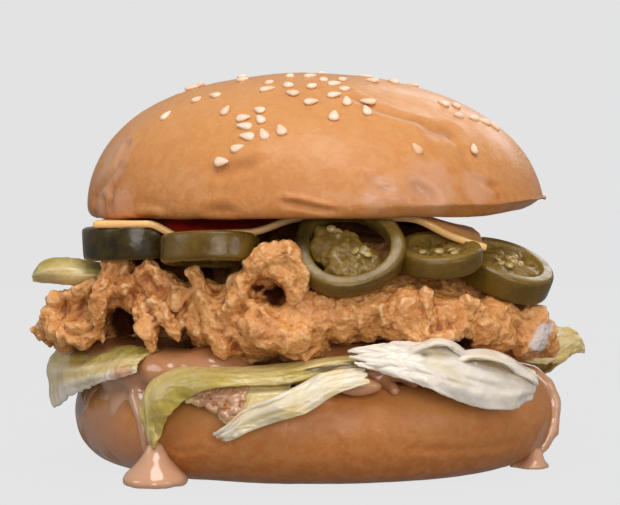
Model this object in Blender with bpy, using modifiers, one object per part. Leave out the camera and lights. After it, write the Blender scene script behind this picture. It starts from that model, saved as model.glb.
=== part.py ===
# Chicken burger: crispy chicken, melted cheese, pickled pepper slices, lettuce and sauce in a
# seeded bun.
# Named lengths are millimetres, and MM turns them into Blender's metres where a mesh is made.
# +Z is up, the shown side faces -Y, and the origin is the middle of the bottom bun's flat base.

import math
import random

import bmesh
import bpy
from mathutils import Matrix, Vector, noise

MM = 0.001
GAP = 0.3

# Bottom bun: its turned outline from the middle of the top face down to the base
BASE_OUTLINE = [
    (0, 20.8), (46, 20.6), (50.5, 19.8), (53.4, 17.4), (54.8, 13.5),
    (54.9, 9.5), (53.7, 5.2), (50.6, 1.8), (46, 0), (0, 0),
]
BASE_TURNS = 40

# Top bun: a dome over a hollowed cut face, with a crust that rolls in under its right side
CROWN_RADIUS = 53.0
CROWN_HEIGHT = 32.7
CROWN_FULLNESS = 2.22
CROWN_FLOOR = 55.8
CROWN_HOLLOW = 1.3
CROWN_LEAN = -0.022
CROWN_ROLL = 2.2
CROWN_TURNS = 40
CROWN_RINGS = 11

# Sesame seeds
SEED_LENGTH = 3.3
SEED_WIDTH = 2.0
SEED_THICKNESS = 1.2
SEED_SUNK = 0.25
SEED_SPACING = 3.6
BACK_SEEDS = 22

# Cheese slice
CHEESE_SIDE = 84.0
CHEESE_THICKNESS = 1.6
CHEESE_MIDDLE = (-5.7, 3.0)
CHEESE_TOP = 56.7

# Leaves
LEAF_THICKNESS = 0.9
RUFFLE = 0.55
RUFFLE_TURN = 2.3

# Sauce bed on the bottom bun
BED_RADIUS = 47.5
BED_LOW = 21.15
BED_HIGH = 22.7


def smooth(value, low, high):
    """0 below low, 1 above high, and a soft step between them."""
    t = min(1.0, max(0.0, (value - low) / (high - low)))
    return t * t * (3 - 2 * t)


def clear_scene():
    for obj in list(bpy.data.objects):
        bpy.data.objects.remove(obj, do_unlink=True)


def new_collection(name):
    collection = bpy.data.collections.new(name)
    bpy.context.scene.collection.children.link(collection)
    return collection


def new_material(name, colour, roughness):
    material = bpy.data.materials.new(name)
    material.use_nodes = True
    shader = material.node_tree.nodes["Principled BSDF"]
    shader.inputs["Base Color"].default_value = (*colour, 1.0)
    shader.inputs["Roughness"].default_value = roughness
    shader.inputs["Metallic"].default_value = 0.0
    return material


def object_from(name, bm, material, collection):
    """Makes an object of a mesh drawn in millimetres."""
    bmesh.ops.scale(bm, vec=(MM, MM, MM), verts=bm.verts)
    mesh = bpy.data.meshes.new(name)
    bm.to_mesh(mesh)
    bm.free()
    mesh.shade_smooth()
    mesh.materials.append(material)
    obj = bpy.data.objects.new(name, mesh)
    collection.objects.link(obj)
    return obj


def apply_modifiers(obj):
    bpy.context.view_layer.update()
    graph = bpy.context.evaluated_depsgraph_get()
    mesh = bpy.data.meshes.new_from_object(obj.evaluated_get(graph))
    obj.modifiers.clear()
    obj.data = mesh


def turned(name, outline, steps, material, collection):
    """A solid of revolution about +Z from an outline of (radius, height), top to bottom."""
    bm = bmesh.new()
    corners = [bm.verts.new((radius, 0, height)) for radius, height in outline]
    for first, second in zip(corners, corners[1:]):
        bm.edges.new((first, second))
    obj = object_from(name, bm, material, collection)
    screw = obj.modifiers.new("turn", "SCREW")
    screw.steps = steps
    screw.render_steps = steps
    screw.use_merge_vertices = True
    screw.merge_threshold = 1e-5
    screw.use_smooth_shade = True
    apply_modifiers(obj)
    return obj


def reshape(obj, place):
    """Moves each vertex of obj to place(point), both in millimetres."""
    for vertex in obj.data.vertices:
        vertex.co = Vector(place(vertex.co / MM)) * MM
    obj.data.update()


def bounds_of(obj):
    corners = [vertex.co for vertex in obj.data.vertices]
    low = Vector([min(corner[axis] for corner in corners) for axis in range(3)])
    high = Vector([max(corner[axis] for corner in corners) for axis in range(3)])
    return low, high


def boxes_meet(one, other):
    low_a, high_a = bounds_of(one)
    low_b, high_b = bounds_of(other)
    reach = 2 * GAP * MM
    return all(
        low_a[axis] - reach < high_b[axis] and low_b[axis] - reach < high_a[axis]
        for axis in range(3)
    )


def combine(obj, collection, operation, solver="EXACT"):
    """Applies one Boolean of obj with every object of the collection, and removes those."""
    modifier = obj.modifiers.new("combine", "BOOLEAN")
    modifier.operation = operation
    modifier.operand_type = "COLLECTION"
    modifier.collection = collection
    modifier.solver = solver
    modifier.use_self = solver == "EXACT"
    apply_modifiers(obj)
    for other in list(collection.objects):
        bpy.data.objects.remove(other, do_unlink=True)


def keep_largest_body(obj):
    """Drops the loose scraps that a cut leaves."""
    bm = bmesh.new()
    bm.from_mesh(obj.data)
    unseen = set(bm.verts)
    bodies = []
    while unseen:
        body = {unseen.pop()}
        edge = list(body)
        while edge:
            vertex = edge.pop()
            for link in vertex.link_edges:
                other = link.other_vert(vertex)
                if other in unseen:
                    unseen.remove(other)
                    body.add(other)
                    edge.append(other)
        bodies.append(body)
    largest = max(bodies, key=len)
    scraps = [vertex for body in bodies if body is not largest for vertex in body]
    bmesh.ops.delete(bm, geom=scraps, context="VERTS")
    bm.to_mesh(obj.data)
    bm.free()


def cut_by(obj, neighbours, solver="EXACT"):
    """Takes the neighbours, swollen by the gap, out of obj."""
    for neighbour in neighbours:
        if not boxes_meet(obj, neighbour):
            continue
        swollen = neighbour.copy()
        swollen.data = neighbour.data.copy()
        swollen.hide_render = True
        swollen.display_type = "WIRE"
        normals = [Vector(vertex.normal) for vertex in swollen.data.vertices]
        for vertex, normal in zip(swollen.data.vertices, normals):
            vertex.co += normal * GAP * MM
        cutters.objects.link(swollen)
    if cutters.objects:
        combine(obj, cutters, "DIFFERENCE", solver)
        keep_largest_body(obj)


def base_surface(azimuth, drop, lift):
    """A point off the bottom bun's side: azimuth from the front towards +X in degrees, drop down
    the outline from its shoulder, and lift off the crust."""
    turn = math.radians(azimuth)
    shoulder = BASE_OUTLINE[1:-1]
    for (radius_a, height_a), (radius_b, height_b) in zip(shoulder, shoulder[1:]):
        length = math.hypot(radius_b - radius_a, height_b - height_a)
        if drop <= length:
            break
        drop -= length
    along = drop / length
    radius = radius_a + (radius_b - radius_a) * along + lift * (height_a - height_b) / length
    height = height_a + (height_b - height_a) * along + lift * (radius_b - radius_a) / length
    return Vector((radius * math.sin(turn), -radius * math.cos(turn), height))


def build_bottom_bun():
    def uneven(point):
        turn = math.atan2(point.y, point.x)
        swell = 0.012 * math.cos(2 * turn - 0.7) + 0.008 * math.cos(3 * turn + 1.2)
        share = smooth(math.hypot(point.x, point.y), 20, 50)
        return point.x * (1 + swell * share), point.y * (1 + swell * share), point.z

    bun = turned("bottom_bun", BASE_OUTLINE, BASE_TURNS, bun_crust, parts)
    reshape(bun, uneven)
    return bun


def crown_height(x, y):
    """The top bun's upper surface over (x, y)."""
    share = min(1.0, math.hypot(x, y) / CROWN_RADIUS) ** CROWN_FULLNESS
    rise = CROWN_HEIGHT * (1 - share) ** (1 / CROWN_FULLNESS)
    return CROWN_FLOOR + rise + CROWN_LEAN * x * min(1.0, rise / 8)


def crown_normal(x, y):
    step = 0.2
    slope_x = (crown_height(x + step, y) - crown_height(x - step, y)) / (2 * step)
    slope_y = (crown_height(x, y + step) - crown_height(x, y - step)) / (2 * step)
    return Vector((-slope_x, -slope_y, 1)).normalized()


def crown_floor(x, y):
    """The cut face under the top bun, which lifts a little at the right."""
    return CROWN_FLOOR + 0.008 * x + 1.6 * smooth(x, 36, 53)


def build_top_bun():
    outline = []
    for ring in range(CROWN_RINGS):
        turn = math.radians(90 * ring / (CROWN_RINGS - 1))
        radius = CROWN_RADIUS * math.sin(turn) ** (2 / CROWN_FULLNESS)
        rise = CROWN_HEIGHT * max(0.0, math.cos(turn)) ** (2 / CROWN_FULLNESS)
        outline.append((radius, max(rise, 4.0) if ring == CROWN_RINGS - 1 else rise))
    outline += [(52.7, 1.8), (51.6, 0.0), (49.0, 0.3), (45.5, CROWN_HOLLOW), (0, CROWN_HOLLOW)]

    def settle(point):
        x, y, rise = point
        rolled = smooth(x, 0, 32)
        radius = math.hypot(x, y)
        if rise < 2 and radius < 52:
            inset = 1 - CROWN_ROLL * rolled / CROWN_RADIUS if radius > 1 else 1
            return x * inset, y * inset, crown_floor(x * inset, y * inset) + rise
        if rise < 4.5:
            return x, y, crown_floor(x, y) + rise + CROWN_ROLL / 3 * rolled * (rise < 3)
        return x, y, CROWN_FLOOR + rise + CROWN_LEAN * x * min(1.0, rise / 8)

    bun = turned("top_bun", outline, CROWN_TURNS, bun_crust, parts)
    reshape(bun, settle)
    return bun


# Rows of sesame seeds on the front of the crown: first seed (x, y), step to the next, and count
SEED_ROWS = [
    ((-32.8, -27.3), (0, 0), 1), ((-26.1, -26.4), (4.1, -1.2), 2), ((-19.4, -36.5), (0, 0), 1),
    ((-16.3, -18.2), (0, 0), 1), ((-10.3, -25.5), (-0.5, -4.8), 2), ((-5.8, -19.5), (-0.4, -9.1), 2),
    ((-5.2, -33.7), (3.9, -4.1), 2), ((-0.9, -29.8), (-0.6, 9.4), 2), ((-12.1, -39.2), (0.3, -2.8), 2),
    ((-15.6, -40.4), (0.6, -2.3), 3), ((-11.0, -45.6), (3.6, 0.2), 2), ((-16.6, -46.2), (-3.3, -0.4), 2),
    ((1.5, -24.2), (2.3, -3.2), 3), ((5.9, -23.0), (0, 0), 1), ((3.6, -34.4), (2.8, -2.3), 2),
    ((3.6, -42.2), (0, 0), 1), ((11.1, -35.4), (-0.5, -3.7), 2), ((12.5, -19.4), (4.9, 5.7), 2),
    ((21.0, -43.9), (0, 0), 1), ((28.0, -22.9), (2.9, 3.2), 2), ((31.0, -26.3), (3.6, 4.0), 2),
    ((37.4, -19.0), (2.3, 2.4), 2), ((33.6, -34.7), (0, 0), 1),
]


def seed_places():
    """Where each seed lies: (x, y, turn). The front rows come first, then a scatter behind."""
    draw = random.Random(11)
    places = []
    for (x, y), (step_x, step_y), count in SEED_ROWS:
        for index in range(count):
            places.append((x + step_x * index, y + step_y * index, draw.uniform(0, math.pi)))
    wanted = len(places) + BACK_SEEDS
    while len(places) < wanted:
        radius = 43 * math.sqrt(draw.random())
        azimuth = draw.uniform(-0.35, math.pi + 0.35)
        x, y = radius * math.cos(azimuth), radius * math.sin(azimuth)
        turn = draw.uniform(0, math.pi)
        if all(math.hypot(x - place[0], y - place[1]) > SEED_SPACING for place in places):
            places.append((x, y, turn))
    return places


def add_seeds(bun):
    seeds = new_collection("seeds")
    size = Matrix.Diagonal((SEED_LENGTH / 2, SEED_WIDTH / 2, SEED_THICKNESS / 2, 1))
    for x, y, turn in seed_places():
        bm = bmesh.new()
        bmesh.ops.create_uvsphere(bm, u_segments=6, v_segments=3, radius=1)
        for vertex in bm.verts:
            vertex.co.x, vertex.co.z = vertex.co.z, vertex.co.x
            vertex.co.y *= 1 - 0.35 * vertex.co.x
        bmesh.ops.recalc_face_normals(bm, faces=bm.faces)
        up = crown_normal(x, y)
        lean = up.to_track_quat("Z", "Y").to_matrix().to_4x4()
        place = Vector((x, y, crown_height(x, y))) + up * SEED_THICKNESS * (0.5 - SEED_SUNK)
        matrix = Matrix.Translation(place) @ lean @ Matrix.Rotation(turn, 4, "Z") @ size
        bmesh.ops.transform(bm, matrix=matrix, verts=bm.verts)
        object_from("seed", bm, sesame, seeds)
    combine(bun, seeds, "UNION")
    keep_largest_body(bun)


def cheese_height(x, y):
    """The cheese slice's upper surface: level under the bun, pressed down by its rim, and sagging
    at the front, at the corners and all along the right."""
    front = smooth(-y, 18, 39)
    radius = math.hypot(x, y)
    sag = 1.45 * smooth(radius, 42, 48)
    sag += 3.2 * smooth(x, -36, -27) * smooth(-x, 3, 15) * front
    sag += (3.6 + 1.4 * smooth(-y, 0, 40)) * smooth(x, 20, 38)
    sag += 0.75 * max(0.0, radius - 49) * smooth(y, 5, 25) * smooth(10 - x, 0, 20)
    return CHEESE_TOP - sag


def build_cheese():
    bm = bmesh.new()
    bmesh.ops.create_grid(bm, x_segments=9, y_segments=9, size=CHEESE_SIDE / 2)
    for vertex in bm.verts:
        x = vertex.co.x + CHEESE_MIDDLE[0]
        y = vertex.co.y + CHEESE_MIDDLE[1]
        vertex.co = (x, y, cheese_height(x, y))
    bmesh.ops.triangulate(bm, faces=bm.faces)
    slice_ = object_from("cheese_slice", bm, cheese, parts)
    solidify = slice_.modifiers.new("thickness", "SOLIDIFY")
    solidify.thickness = CHEESE_THICKNESS * MM
    solidify.offset = -1
    apply_modifiers(slice_)
    return slice_


# Pepper slices: middle, radius, thickness, tilt, the azimuth it leans to (from +X), and its kind
PEPPER_SLICES = {
    "pepper_slice_a": ((-39.2, -28, 50.6), 11.6, 7.4, 3, 180, "cup"),
    "pepper_slice_b": ((-22.2, -41.4, 49.2), 10.2, 6.2, -8, -90, "plain"),
    "pepper_slice_c": ((6.6, -45.6, 49.6), 11.4, 5.0, 56, -90, "open"),
    "pepper_slice_d": ((25.6, -40.5, 48.0), 9.0, 4.8, 20, -90, "cup"),
    "pepper_slice_e": ((40.8, -28, 44.4), 11.0, 6.0, 27, -50, "cup"),
    "pepper_slice_g": ((-28, 27, 50.6), 11.0, 5.6, 8, 120, "cup"),
    "pepper_slice_h": ((2, 38, 50.2), 10.4, 5.4, 12, 90, "plain"),
    "pepper_slice_i": ((26, 30, 48.8), 10.6, 5.2, 14, 30, "cup"),
    "pepper_slice_j": ((36.5, 5, 46.6), 10.0, 5.2, 18, 0, "plain"),
}
PEPPER_WALL = 2.9
PEPPER_HOLLOW = 1.3
PEPPER_TURNS = 16


def build_pepper_slice(name, middle, radius, thickness, tilt, toward, kind):
    half = thickness / 2
    inner = radius - PEPPER_WALL
    skin = [(radius - 0.8, half), (radius, half - 1.2), (radius, 1.2 - half), (radius - 0.8, -half)]
    if kind == "plain":
        outline = [(0, half), *skin, (0, -half)]
    elif kind == "cup":
        floor = half - PEPPER_HOLLOW
        outline = [(0, floor), (inner, floor), (inner + 0.4, half), *skin,
                   (inner + 0.4, -half), (inner, -floor), (0, -floor)]
    else:
        outline = [(inner, 0), (inner + 0.4, half), *skin, (inner + 0.4, -half), (inner, 0)]
    obj = turned(name, outline, PEPPER_TURNS, pepper, parts)
    if kind == "open":
        add_membrane(obj, inner + 0.8, half)
    lean = math.radians(toward)
    axis = Vector((-math.sin(lean), math.cos(lean), 0))
    stand = Matrix.Translation(middle) @ Matrix.Rotation(math.radians(tilt), 4, axis)

    def place(point):
        turn = math.atan2(point.y, point.x)
        lobed = 1 + 0.035 * math.cos(3 * turn + middle[0]) + 0.02 * math.cos(2 * turn)
        return stand @ Vector((point.x * lobed, point.y * lobed, point.z))

    reshape(obj, place)
    return obj


def add_membrane(ring, reach, half):
    """The flesh across an open ring, which leaves one hole at its upper right and one at its
    lower left."""
    flesh = new_collection("membrane")
    for x, y, length, width in ((0, 0, reach, 2.6), (-2.0, 3.4, 4.8, 3.8)):
        bm = bmesh.new()
        bmesh.ops.create_uvsphere(bm, u_segments=8, v_segments=5, radius=1)
        turn = Matrix.Rotation(math.radians(-38), 4, "Z")
        size = Matrix.Diagonal((length, width, half * 0.8, 1))
        matrix = turn @ Matrix.Translation((x, y, 0)) @ size
        bmesh.ops.transform(bm, matrix=matrix, verts=bm.verts)
        object_from("flesh", bm, pepper, flesh)
    combine(ring, flesh, "UNION")


# Chicken pieces: each lobe is a middle, half sizes and a turn about +Z in degrees
CHICKEN_PIECES = {
    "chicken_right": [
        ((4, -40, 35), (10, 9, 7), 0), ((17, -40.5, 36), (10, 8.6, 6.4), 0),
        ((27, -38.5, 35.2), (8, 8.6, 6.2), 0), ((24, -44, 38), (2.4, 2.4, 4), 0),
        ((37, -34, 33.6), (6.6, 8.6, 7), 20), ((44, -28, 31), (7.4, 8.6, 6.8), 40),
        ((49.4, -23, 29.4), (5, 6.4, 5.8), 45), ((20, -20, 37), (23, 17, 18.4), 20),
    ],
    "chicken_middle": [
        ((-7, -41.5, 31.2), (12.5, 10, 7.6), 0), ((-16, -41, 32), (7, 8, 7), 0),
        ((-7.4, -45.6, 45.8), (6, 5.6, 5.2), 0), ((-4.2, -46, 42.2), (3.4, 4.4, 4.6), 0),
        ((-11.6, -45.6, 46.4), (3.4, 4.4, 3.6), 0), ((-15.4, -45.4, 40.6), (3.6, 4.4, 5.6), 10),
        ((-18, -45.8, 36.6), (3.6, 3.4, 2.8), 0), ((-9.6, -49.6, 34.6), (1.7, 1.8, 3.2), 0),
        ((-8, -38, 41), (8, 6, 7), 0), ((-23, -38, 35.6), (5.4, 8, 9.4), 0),
        ((-8, -19, 37), (17, 16, 18.4), 0),
    ],
    "chicken_left": [
        ((-54, -18.5, 31.8), (9, 10, 7.6), 0), ((-58.6, -19.6, 31.4), (4.8, 7.2, 6.6), 0),
        ((-52, -23, 38), (5, 6, 4), 0), ((-44, -19, 38), (9, 9, 8), 0),
        ((-46.5, -31, 35.5), (2.9, 3.4, 7.4), -20), ((-43.6, -30, 43.6), (3.4, 4.4, 4.8), 0),
        ((-35.4, -33, 42.6), (5.6, 5, 4.4), 0), ((-38.4, -33.6, 38.6), (3.6, 4, 3.4), 0),
        ((-30.4, -35, 39), (5, 5, 4.4), 0), ((-34.6, -39, 32.8), (3.6, 3, 6.2), 0),
        ((-33, -37, 38), (3.4, 3.2, 4), 0), ((-29.2, -41, 33.6), (2.2, 2.4, 5.6), 0),
        ((-26.6, -41, 38.4), (3.8, 3, 2.8), 0), ((-35, -7, 37), (14, 16, 18.0), 0),
    ],
    "chicken_back_left": [
        ((-45, 13, 33.6), (10, 11, 9), 0), ((-35, 28, 34.6), (10, 11, 10), 0),
        ((-23, 36, 33), (9, 9, 8.6), 0), ((-12, 40, 35), (9, 9, 10.4), 0),
        ((-18, 13, 37), (20, 19, 18.4), 0),
    ],
    "chicken_back_right": [
        ((7, 40, 34), (10, 9, 9.6), 0), ((20, 37, 35.6), (9, 10, 10), 0),
        ((33, 28, 34), (10, 10, 9.6), 0), ((43, 12, 33), (9, 12, 9), 0),
        ((21, 10, 37), (19, 17, 18.4), 0),
    ],
}
FRONT_FACES = 460
REAR_FACES = 240
CRUST_VOXEL = 1.5


def crag(point):
    """How far the fried crust stands out: rounded knobs with finer ones on them."""
    large = noise.voronoi(point / 8.0)[0][0]
    small = noise.voronoi(point / 4.2 + Vector((7, 3, 5)))[0][0]
    return 4.4 * (0.40 - large) + 2.0 * (0.40 - small)


def build_lump(name, lobes, faces, relief):
    """One body fused from rounded lobes, with relief on its surface."""
    bm = bmesh.new()
    for middle, half_sizes, turn in lobes:
        matrix = Matrix.Translation(middle) @ Matrix.Rotation(math.radians(turn), 4, "Z")
        matrix = matrix @ Matrix.Diagonal((*half_sizes, 1))
        bmesh.ops.create_icosphere(bm, subdivisions=3, radius=1, matrix=matrix)
    obj = object_from(name, bm, chicken_crust, parts)
    fuse(obj, CRUST_VOXEL)
    for vertex, normal in [(v, Vector(v.normal)) for v in obj.data.vertices]:
        vertex.co += normal * relief(vertex.co / MM) * MM
    fuse(obj, CRUST_VOXEL)
    thin_out(obj, faces)
    return obj


def fuse(obj, voxel):
    remesh = obj.modifiers.new("fuse", "REMESH")
    remesh.mode = "VOXEL"
    remesh.voxel_size = voxel * MM
    remesh.use_smooth_shade = True
    apply_modifiers(obj)
    keep_largest_body(obj)


def thin_out(obj, faces):
    decimate = obj.modifiers.new("fewer faces", "DECIMATE")
    decimate.ratio = min(1.0, faces / (2 * len(obj.data.polygons)))
    apply_modifiers(obj)
    keep_largest_body(obj)


# Lettuce leaves: ribs across each leaf from one end to the other, each an upper, a middle and a
# lower point
LEAVES = {
    "lettuce_left_high": [
        ((-62.4, -20, 43.6), (-62.8, -20.4, 42.6), (-62.4, -20, 41.5)),
        ((-59, -22, 46.4), (-60, -24.5, 44), (-58, -23, 41.2)),
        ((-54, -22, 46.6), (-55, -26.5, 44.2), (-53, -25, 41)),
        ((-48, -20, 45.6), (-49, -26, 44), (-47.5, -26, 41.6)),
        ((-41, -17, 45), (-42, -22, 44), (-41, -24, 42.6)),
    ],
    "lettuce_left_low": [
        ((-50, 5, 24.4), (-57, 4, 22.8), (-59, 3, 16)),
        ((-54.5, -8, 26), (-60.4, -9, 22.8), (-60, -9, 13.6)),
        ((-52.5, -16, 26.4), (-59, -17, 22), (-57.5, -18, 13)),
        ((-46, -24, 27), (-53, -27.5, 22.8), (-52.5, -27.5, 17)),
        ((-41, -31, 28), (-46.5, -35.6, 24), (-46.5, -36.4, 20.2)),
        ((-37, -35, 28.2), (-41.6, -40.6, 25.4), (-42, -41.6, 21.8)),
        ((-33.5, -38, 27.6), (-37, -43.4, 26), (-38, -44.4, 23.2)),
    ],
    "lettuce_curl": [
        ((4, -47, 26.8), (4, -50.5, 26.2), (3.6, -52, 25)),
        ((-2, -47.5, 26), (-2, -52, 25.2), (-1.8, -54, 23.6)),
        ((-8, -48, 25.4), (-8, -53, 24.2), (-7.6, -55.2, 21.8)),
        ((-15.5, -48, 24.8), (-15.8, -53.4, 23.6), (-16, -55.6, 21.6)),
        ((-22, -47, 24.6), (-22.3, -52.5, 23.5), (-21.4, -54.8, 21)),
        ((-28.5, -45, 24.4), (-29, -50, 22.4), (-26.5, -52.4, 18.8)),
        ((-34, -43.6, 22.4), (-33.6, -48.4, 19.4), (-29.6, -50.8, 15.6)),
        ((-36.6, -45, 16.6), (-35, -47.6, 14.8), (-32, -49.4, 12.2)),
        ((-36.3, -46, 12), (-34.8, -47.6, 10.8), (-33.2, -48.6, 9.2)),
        ((-34.8, -46.9, 8.6), (-34.2, -47.2, 8.1), (-33.6, -47.6, 7.6)),
    ],
    "lettuce_strip": [
        ((10, -52.4, 25), (10.6, -54.4, 24), (11.2, -55.8, 22.4)),
        ((2, -54.2, 24.6), (2.8, -56.6, 22.4), (3.4, -57.6, 19.8)),
        ((-3, -55.8, 22.2), (-2.6, -57.8, 19.4), (-2, -57.8, 16.4)),
        ((-9, -57, 19.4), (-8.6, -57.8, 17.4), (-7.6, -57.4, 14.8)),
        ((-15, -56.4, 17), (-14.4, -56.8, 15), (-13.2, -56.6, 12.8)),
        ((-18.2, -55.5, 14), (-17.6, -55.8, 12.5), (-16.8, -55.8, 11)),
        ((-21.6, -54.2, 11.6), (-20.6, -54.5, 11), (-19.4, -54.8, 10.3)),
    ],
    "lettuce_blade": [
        ((6, -51.6, 28.6), (6.3, -53, 27.4), (7, -54, 26.2)),
        ((12, -51, 30), (12.4, -54, 27.2), (12.8, -55, 24.4)),
        ((18.5, -50, 30.4), (19, -54, 26.6), (20, -55.2, 22.2)),
        ((25.5, -48, 29.8), (26.5, -53, 25), (27.2, -53, 19)),
        ((33, -45, 27.6), (34.2, -50, 22.8), (35, -49, 16.3)),
        ((39.4, -41, 25.4), (40.8, -45.2, 21.3), (41.6, -43.4, 15.7)),
        ((44.2, -37.6, 23.6), (46.4, -38.8, 20.4), (45.8, -38.4, 17.2)),
    ],
    "lettuce_sheet": [
        ((-27.4, -46, 22.9), (-27.4, -49, 21.6), (-27, -50.4, 17.6)),
        ((-22, -48, 23), (-22, -51.8, 21), (-22, -52.6, 16)),
        ((-17, -48.6, 23), (-17.2, -53.6, 20), (-17.6, -54.4, 13.4)),
        ((-11, -49.2, 23), (-11.2, -54.6, 20), (-12, -55.4, 14.6)),
        ((-5, -50, 22.8), (-5, -55, 20.4), (-5.4, -56, 17)),
    ],
    "lettuce_right_tip": [
        ((43, -14, 27.6), (44, -16, 25.6), (44, -17, 23.4)),
        ((50, -12, 30), (51.5, -14, 26), (51, -15, 22.4)),
        ((55, -9, 31), (56.6, -10, 27), (55.2, -11.5, 22.6)),
        ((59.4, -6, 29), (60.4, -6.6, 27), (59.2, -8, 24.2)),
        ((61.2, -4, 25.8), (61.4, -4.3, 25), (61, -5, 24.2)),
    ],
}
# Leaves that hang over the rim behind: first and last azimuth (0 at the front), and their reach
REAR_LEAVES = {
    "lettuce_rear_right": (100, 142, 6.0),
    "lettuce_rear": (154, 200, 8.5),
    "lettuce_rear_left": (212, 262, 5.5),
}


def rear_ribs(first, last, reach, count=7):
    ribs = []
    for index in range(count):
        turn = math.radians(first + (last - first) * index / (count - 1))
        out = Vector((math.sin(turn), -math.cos(turn), 0))
        end = math.sin(math.pi * (index + 0.6) / (count + 0.2))
        wave = 0.8 * math.cos(2.2 * index)
        upper = out * 44 + Vector((0, 0, 24.0))
        middle = out * (57.6 + wave) + Vector((0, 0, 22.4))
        lower = out * (58.6 - wave) + Vector((0, 0, 21.6 - reach * end + 0.7 * wave))
        ribs.append((upper, middle, lower))
    return ribs


def rib_point(ribs, along, across):
    """A point on the sheet through the ribs, both shares running from 0 to 1."""
    share = along * (len(ribs) - 1)
    index = min(int(share), len(ribs) - 2)
    t = share - index
    line = []
    for column in range(3):
        knots = [Vector(ribs[min(max(index + step, 0), len(ribs) - 1)][column])
                 for step in (-1, 0, 1, 2)]
        line.append(0.5 * (
            2 * knots[1] + (knots[2] - knots[0]) * t
            + (2 * knots[0] - 5 * knots[1] + 4 * knots[2] - knots[3]) * t * t
            + (3 * knots[1] - knots[0] - 3 * knots[2] + knots[3]) * t * t * t
        ))
    upper, middle, lower = line
    return (
        upper * (1 - across) * (1 - 2 * across)
        + middle * 4 * across * (1 - across)
        + lower * across * (2 * across - 1)
    )


def build_leaf(name, ribs):
    bm = bmesh.new()
    bmesh.ops.create_grid(bm, x_segments=2 * len(ribs) - 2, y_segments=3, size=1)
    for vertex in bm.verts:
        along = (vertex.co.x + 1) / 2
        across = (vertex.co.y + 1) / 2
        point = rib_point(ribs, along, across)
        out = Vector((point.x, point.y, 0)).normalized()
        ripple = math.sin(RUFFLE_TURN * along * len(ribs) + 2 * across)
        vertex.co = point + out * RUFFLE * ripple * abs(2 * across - 1)
    bmesh.ops.triangulate(bm, faces=bm.faces)
    leaf = object_from(name, bm, lettuce, parts)
    solidify = leaf.modifiers.new("thickness", "SOLIDIFY")
    solidify.thickness = LEAF_THICKNESS * MM
    solidify.offset = 0
    apply_modifiers(leaf)
    return leaf


# Sauce masses: middle and half sizes
SAUCE_MASSES = [
    ((-29, -41.5, 25.2), (9, 5.5, 3.8)), ((-36, -38, 23.4), (6, 6, 2.6)),
    ((3, -49, 22.4), (10, 3.4, 1.8)), ((-33.6, -46.2, 0.4), (8.0, 6.8, 2.2)),
    ((-33.8, -45.8, 1.6), (5.2, 4.6, 3.6)), ((-34.2, -45.2, 4.4), (2.9, 2.8, 4.6)),
    ((48.2, -21, 0.4), (3.9, 3.7, 1.8)),
]
# Drips down the bun's side: azimuth and drop of both ends, and the radius of the strand
SAUCE_DRIPS = [
    ((-54, -3), (-46, 8), 2.2), ((-46, 8), (-42, 18), 1.8), ((-42, 18), (-37.5, 27), 2.0),
    ((-66, -3), (-69, 14), 1.8), ((-60, -3), (-60, 7), 2.0), ((-46, -3), (-44, 5), 2.4),
    ((17, -4), (18.5, 5), 1.6), ((8, -4), (8, 2.5), 1.8), ((72, -4), (74, 12), 2.1),
    ((74, 12), (67, 27), 2.0), ((140, -4), (141, 12), 2.1), ((204, -4), (206, 8), 2.0),
]
SAUCE_FACES = 480
SAUCE_VOXEL = 0.8
DRIP_STEP = 1.0
TABLE_WIDTH = 200.0
TABLE_DEPTH = 20.0


def build_sauce():
    bm = bmesh.new()
    bed = bmesh.ops.create_cone(
        bm, cap_ends=True, segments=40, radius1=BED_RADIUS, radius2=BED_RADIUS - 0.8,
        depth=BED_HIGH - BED_LOW,
    )
    bmesh.ops.translate(bm, vec=(0, 0, (BED_LOW + BED_HIGH) / 2), verts=bed["verts"])
    for middle, half_sizes in SAUCE_MASSES:
        matrix = Matrix.Translation(middle) @ Matrix.Diagonal((*half_sizes, 1))
        bmesh.ops.create_icosphere(bm, subdivisions=3, radius=1, matrix=matrix)
    for (azimuth_a, drop_a), (azimuth_b, drop_b), radius in SAUCE_DRIPS:
        steps = int((drop_b - drop_a) / DRIP_STEP)
        for index in range(steps + 1):
            share = index / steps
            azimuth = azimuth_a + (azimuth_b - azimuth_a) * share
            drop = drop_a + (drop_b - drop_a) * share
            middle = sauce_path(azimuth, drop)
            matrix = Matrix.Translation(middle)
            bmesh.ops.create_icosphere(bm, subdivisions=2, radius=radius, matrix=matrix)
    sauce_ = object_from("sauce", bm, sauce, parts)
    fuse(sauce_, SAUCE_VOXEL)
    thin_out(sauce_, SAUCE_FACES)
    trim_below_table(sauce_)
    return sauce_


def trim_below_table(obj):
    bm = bmesh.new()
    bmesh.ops.create_cube(bm, size=1)
    bmesh.ops.scale(bm, vec=(TABLE_WIDTH, TABLE_WIDTH, TABLE_DEPTH), verts=bm.verts)
    bmesh.ops.translate(bm, vec=(0, 0, -TABLE_DEPTH / 2), verts=bm.verts)
    block = object_from("table_cutter", bm, sauce, cutters)
    block.hide_render = True
    block.display_type = "WIRE"
    combine(obj, cutters, "DIFFERENCE")
    keep_largest_body(obj)


def sauce_path(azimuth, drop):
    """The line a drip follows: from the bed, over the shoulder and down the side."""
    if drop < 0:
        turn = math.radians(azimuth)
        radius = BASE_OUTLINE[1][0] + drop
        return Vector((radius * math.sin(turn), -radius * math.cos(turn), BED_HIGH - 0.8))
    return base_surface(azimuth, drop, 0.7)


clear_scene()
parts = new_collection("chicken_burger")
cutters = new_collection("cutters")

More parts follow.
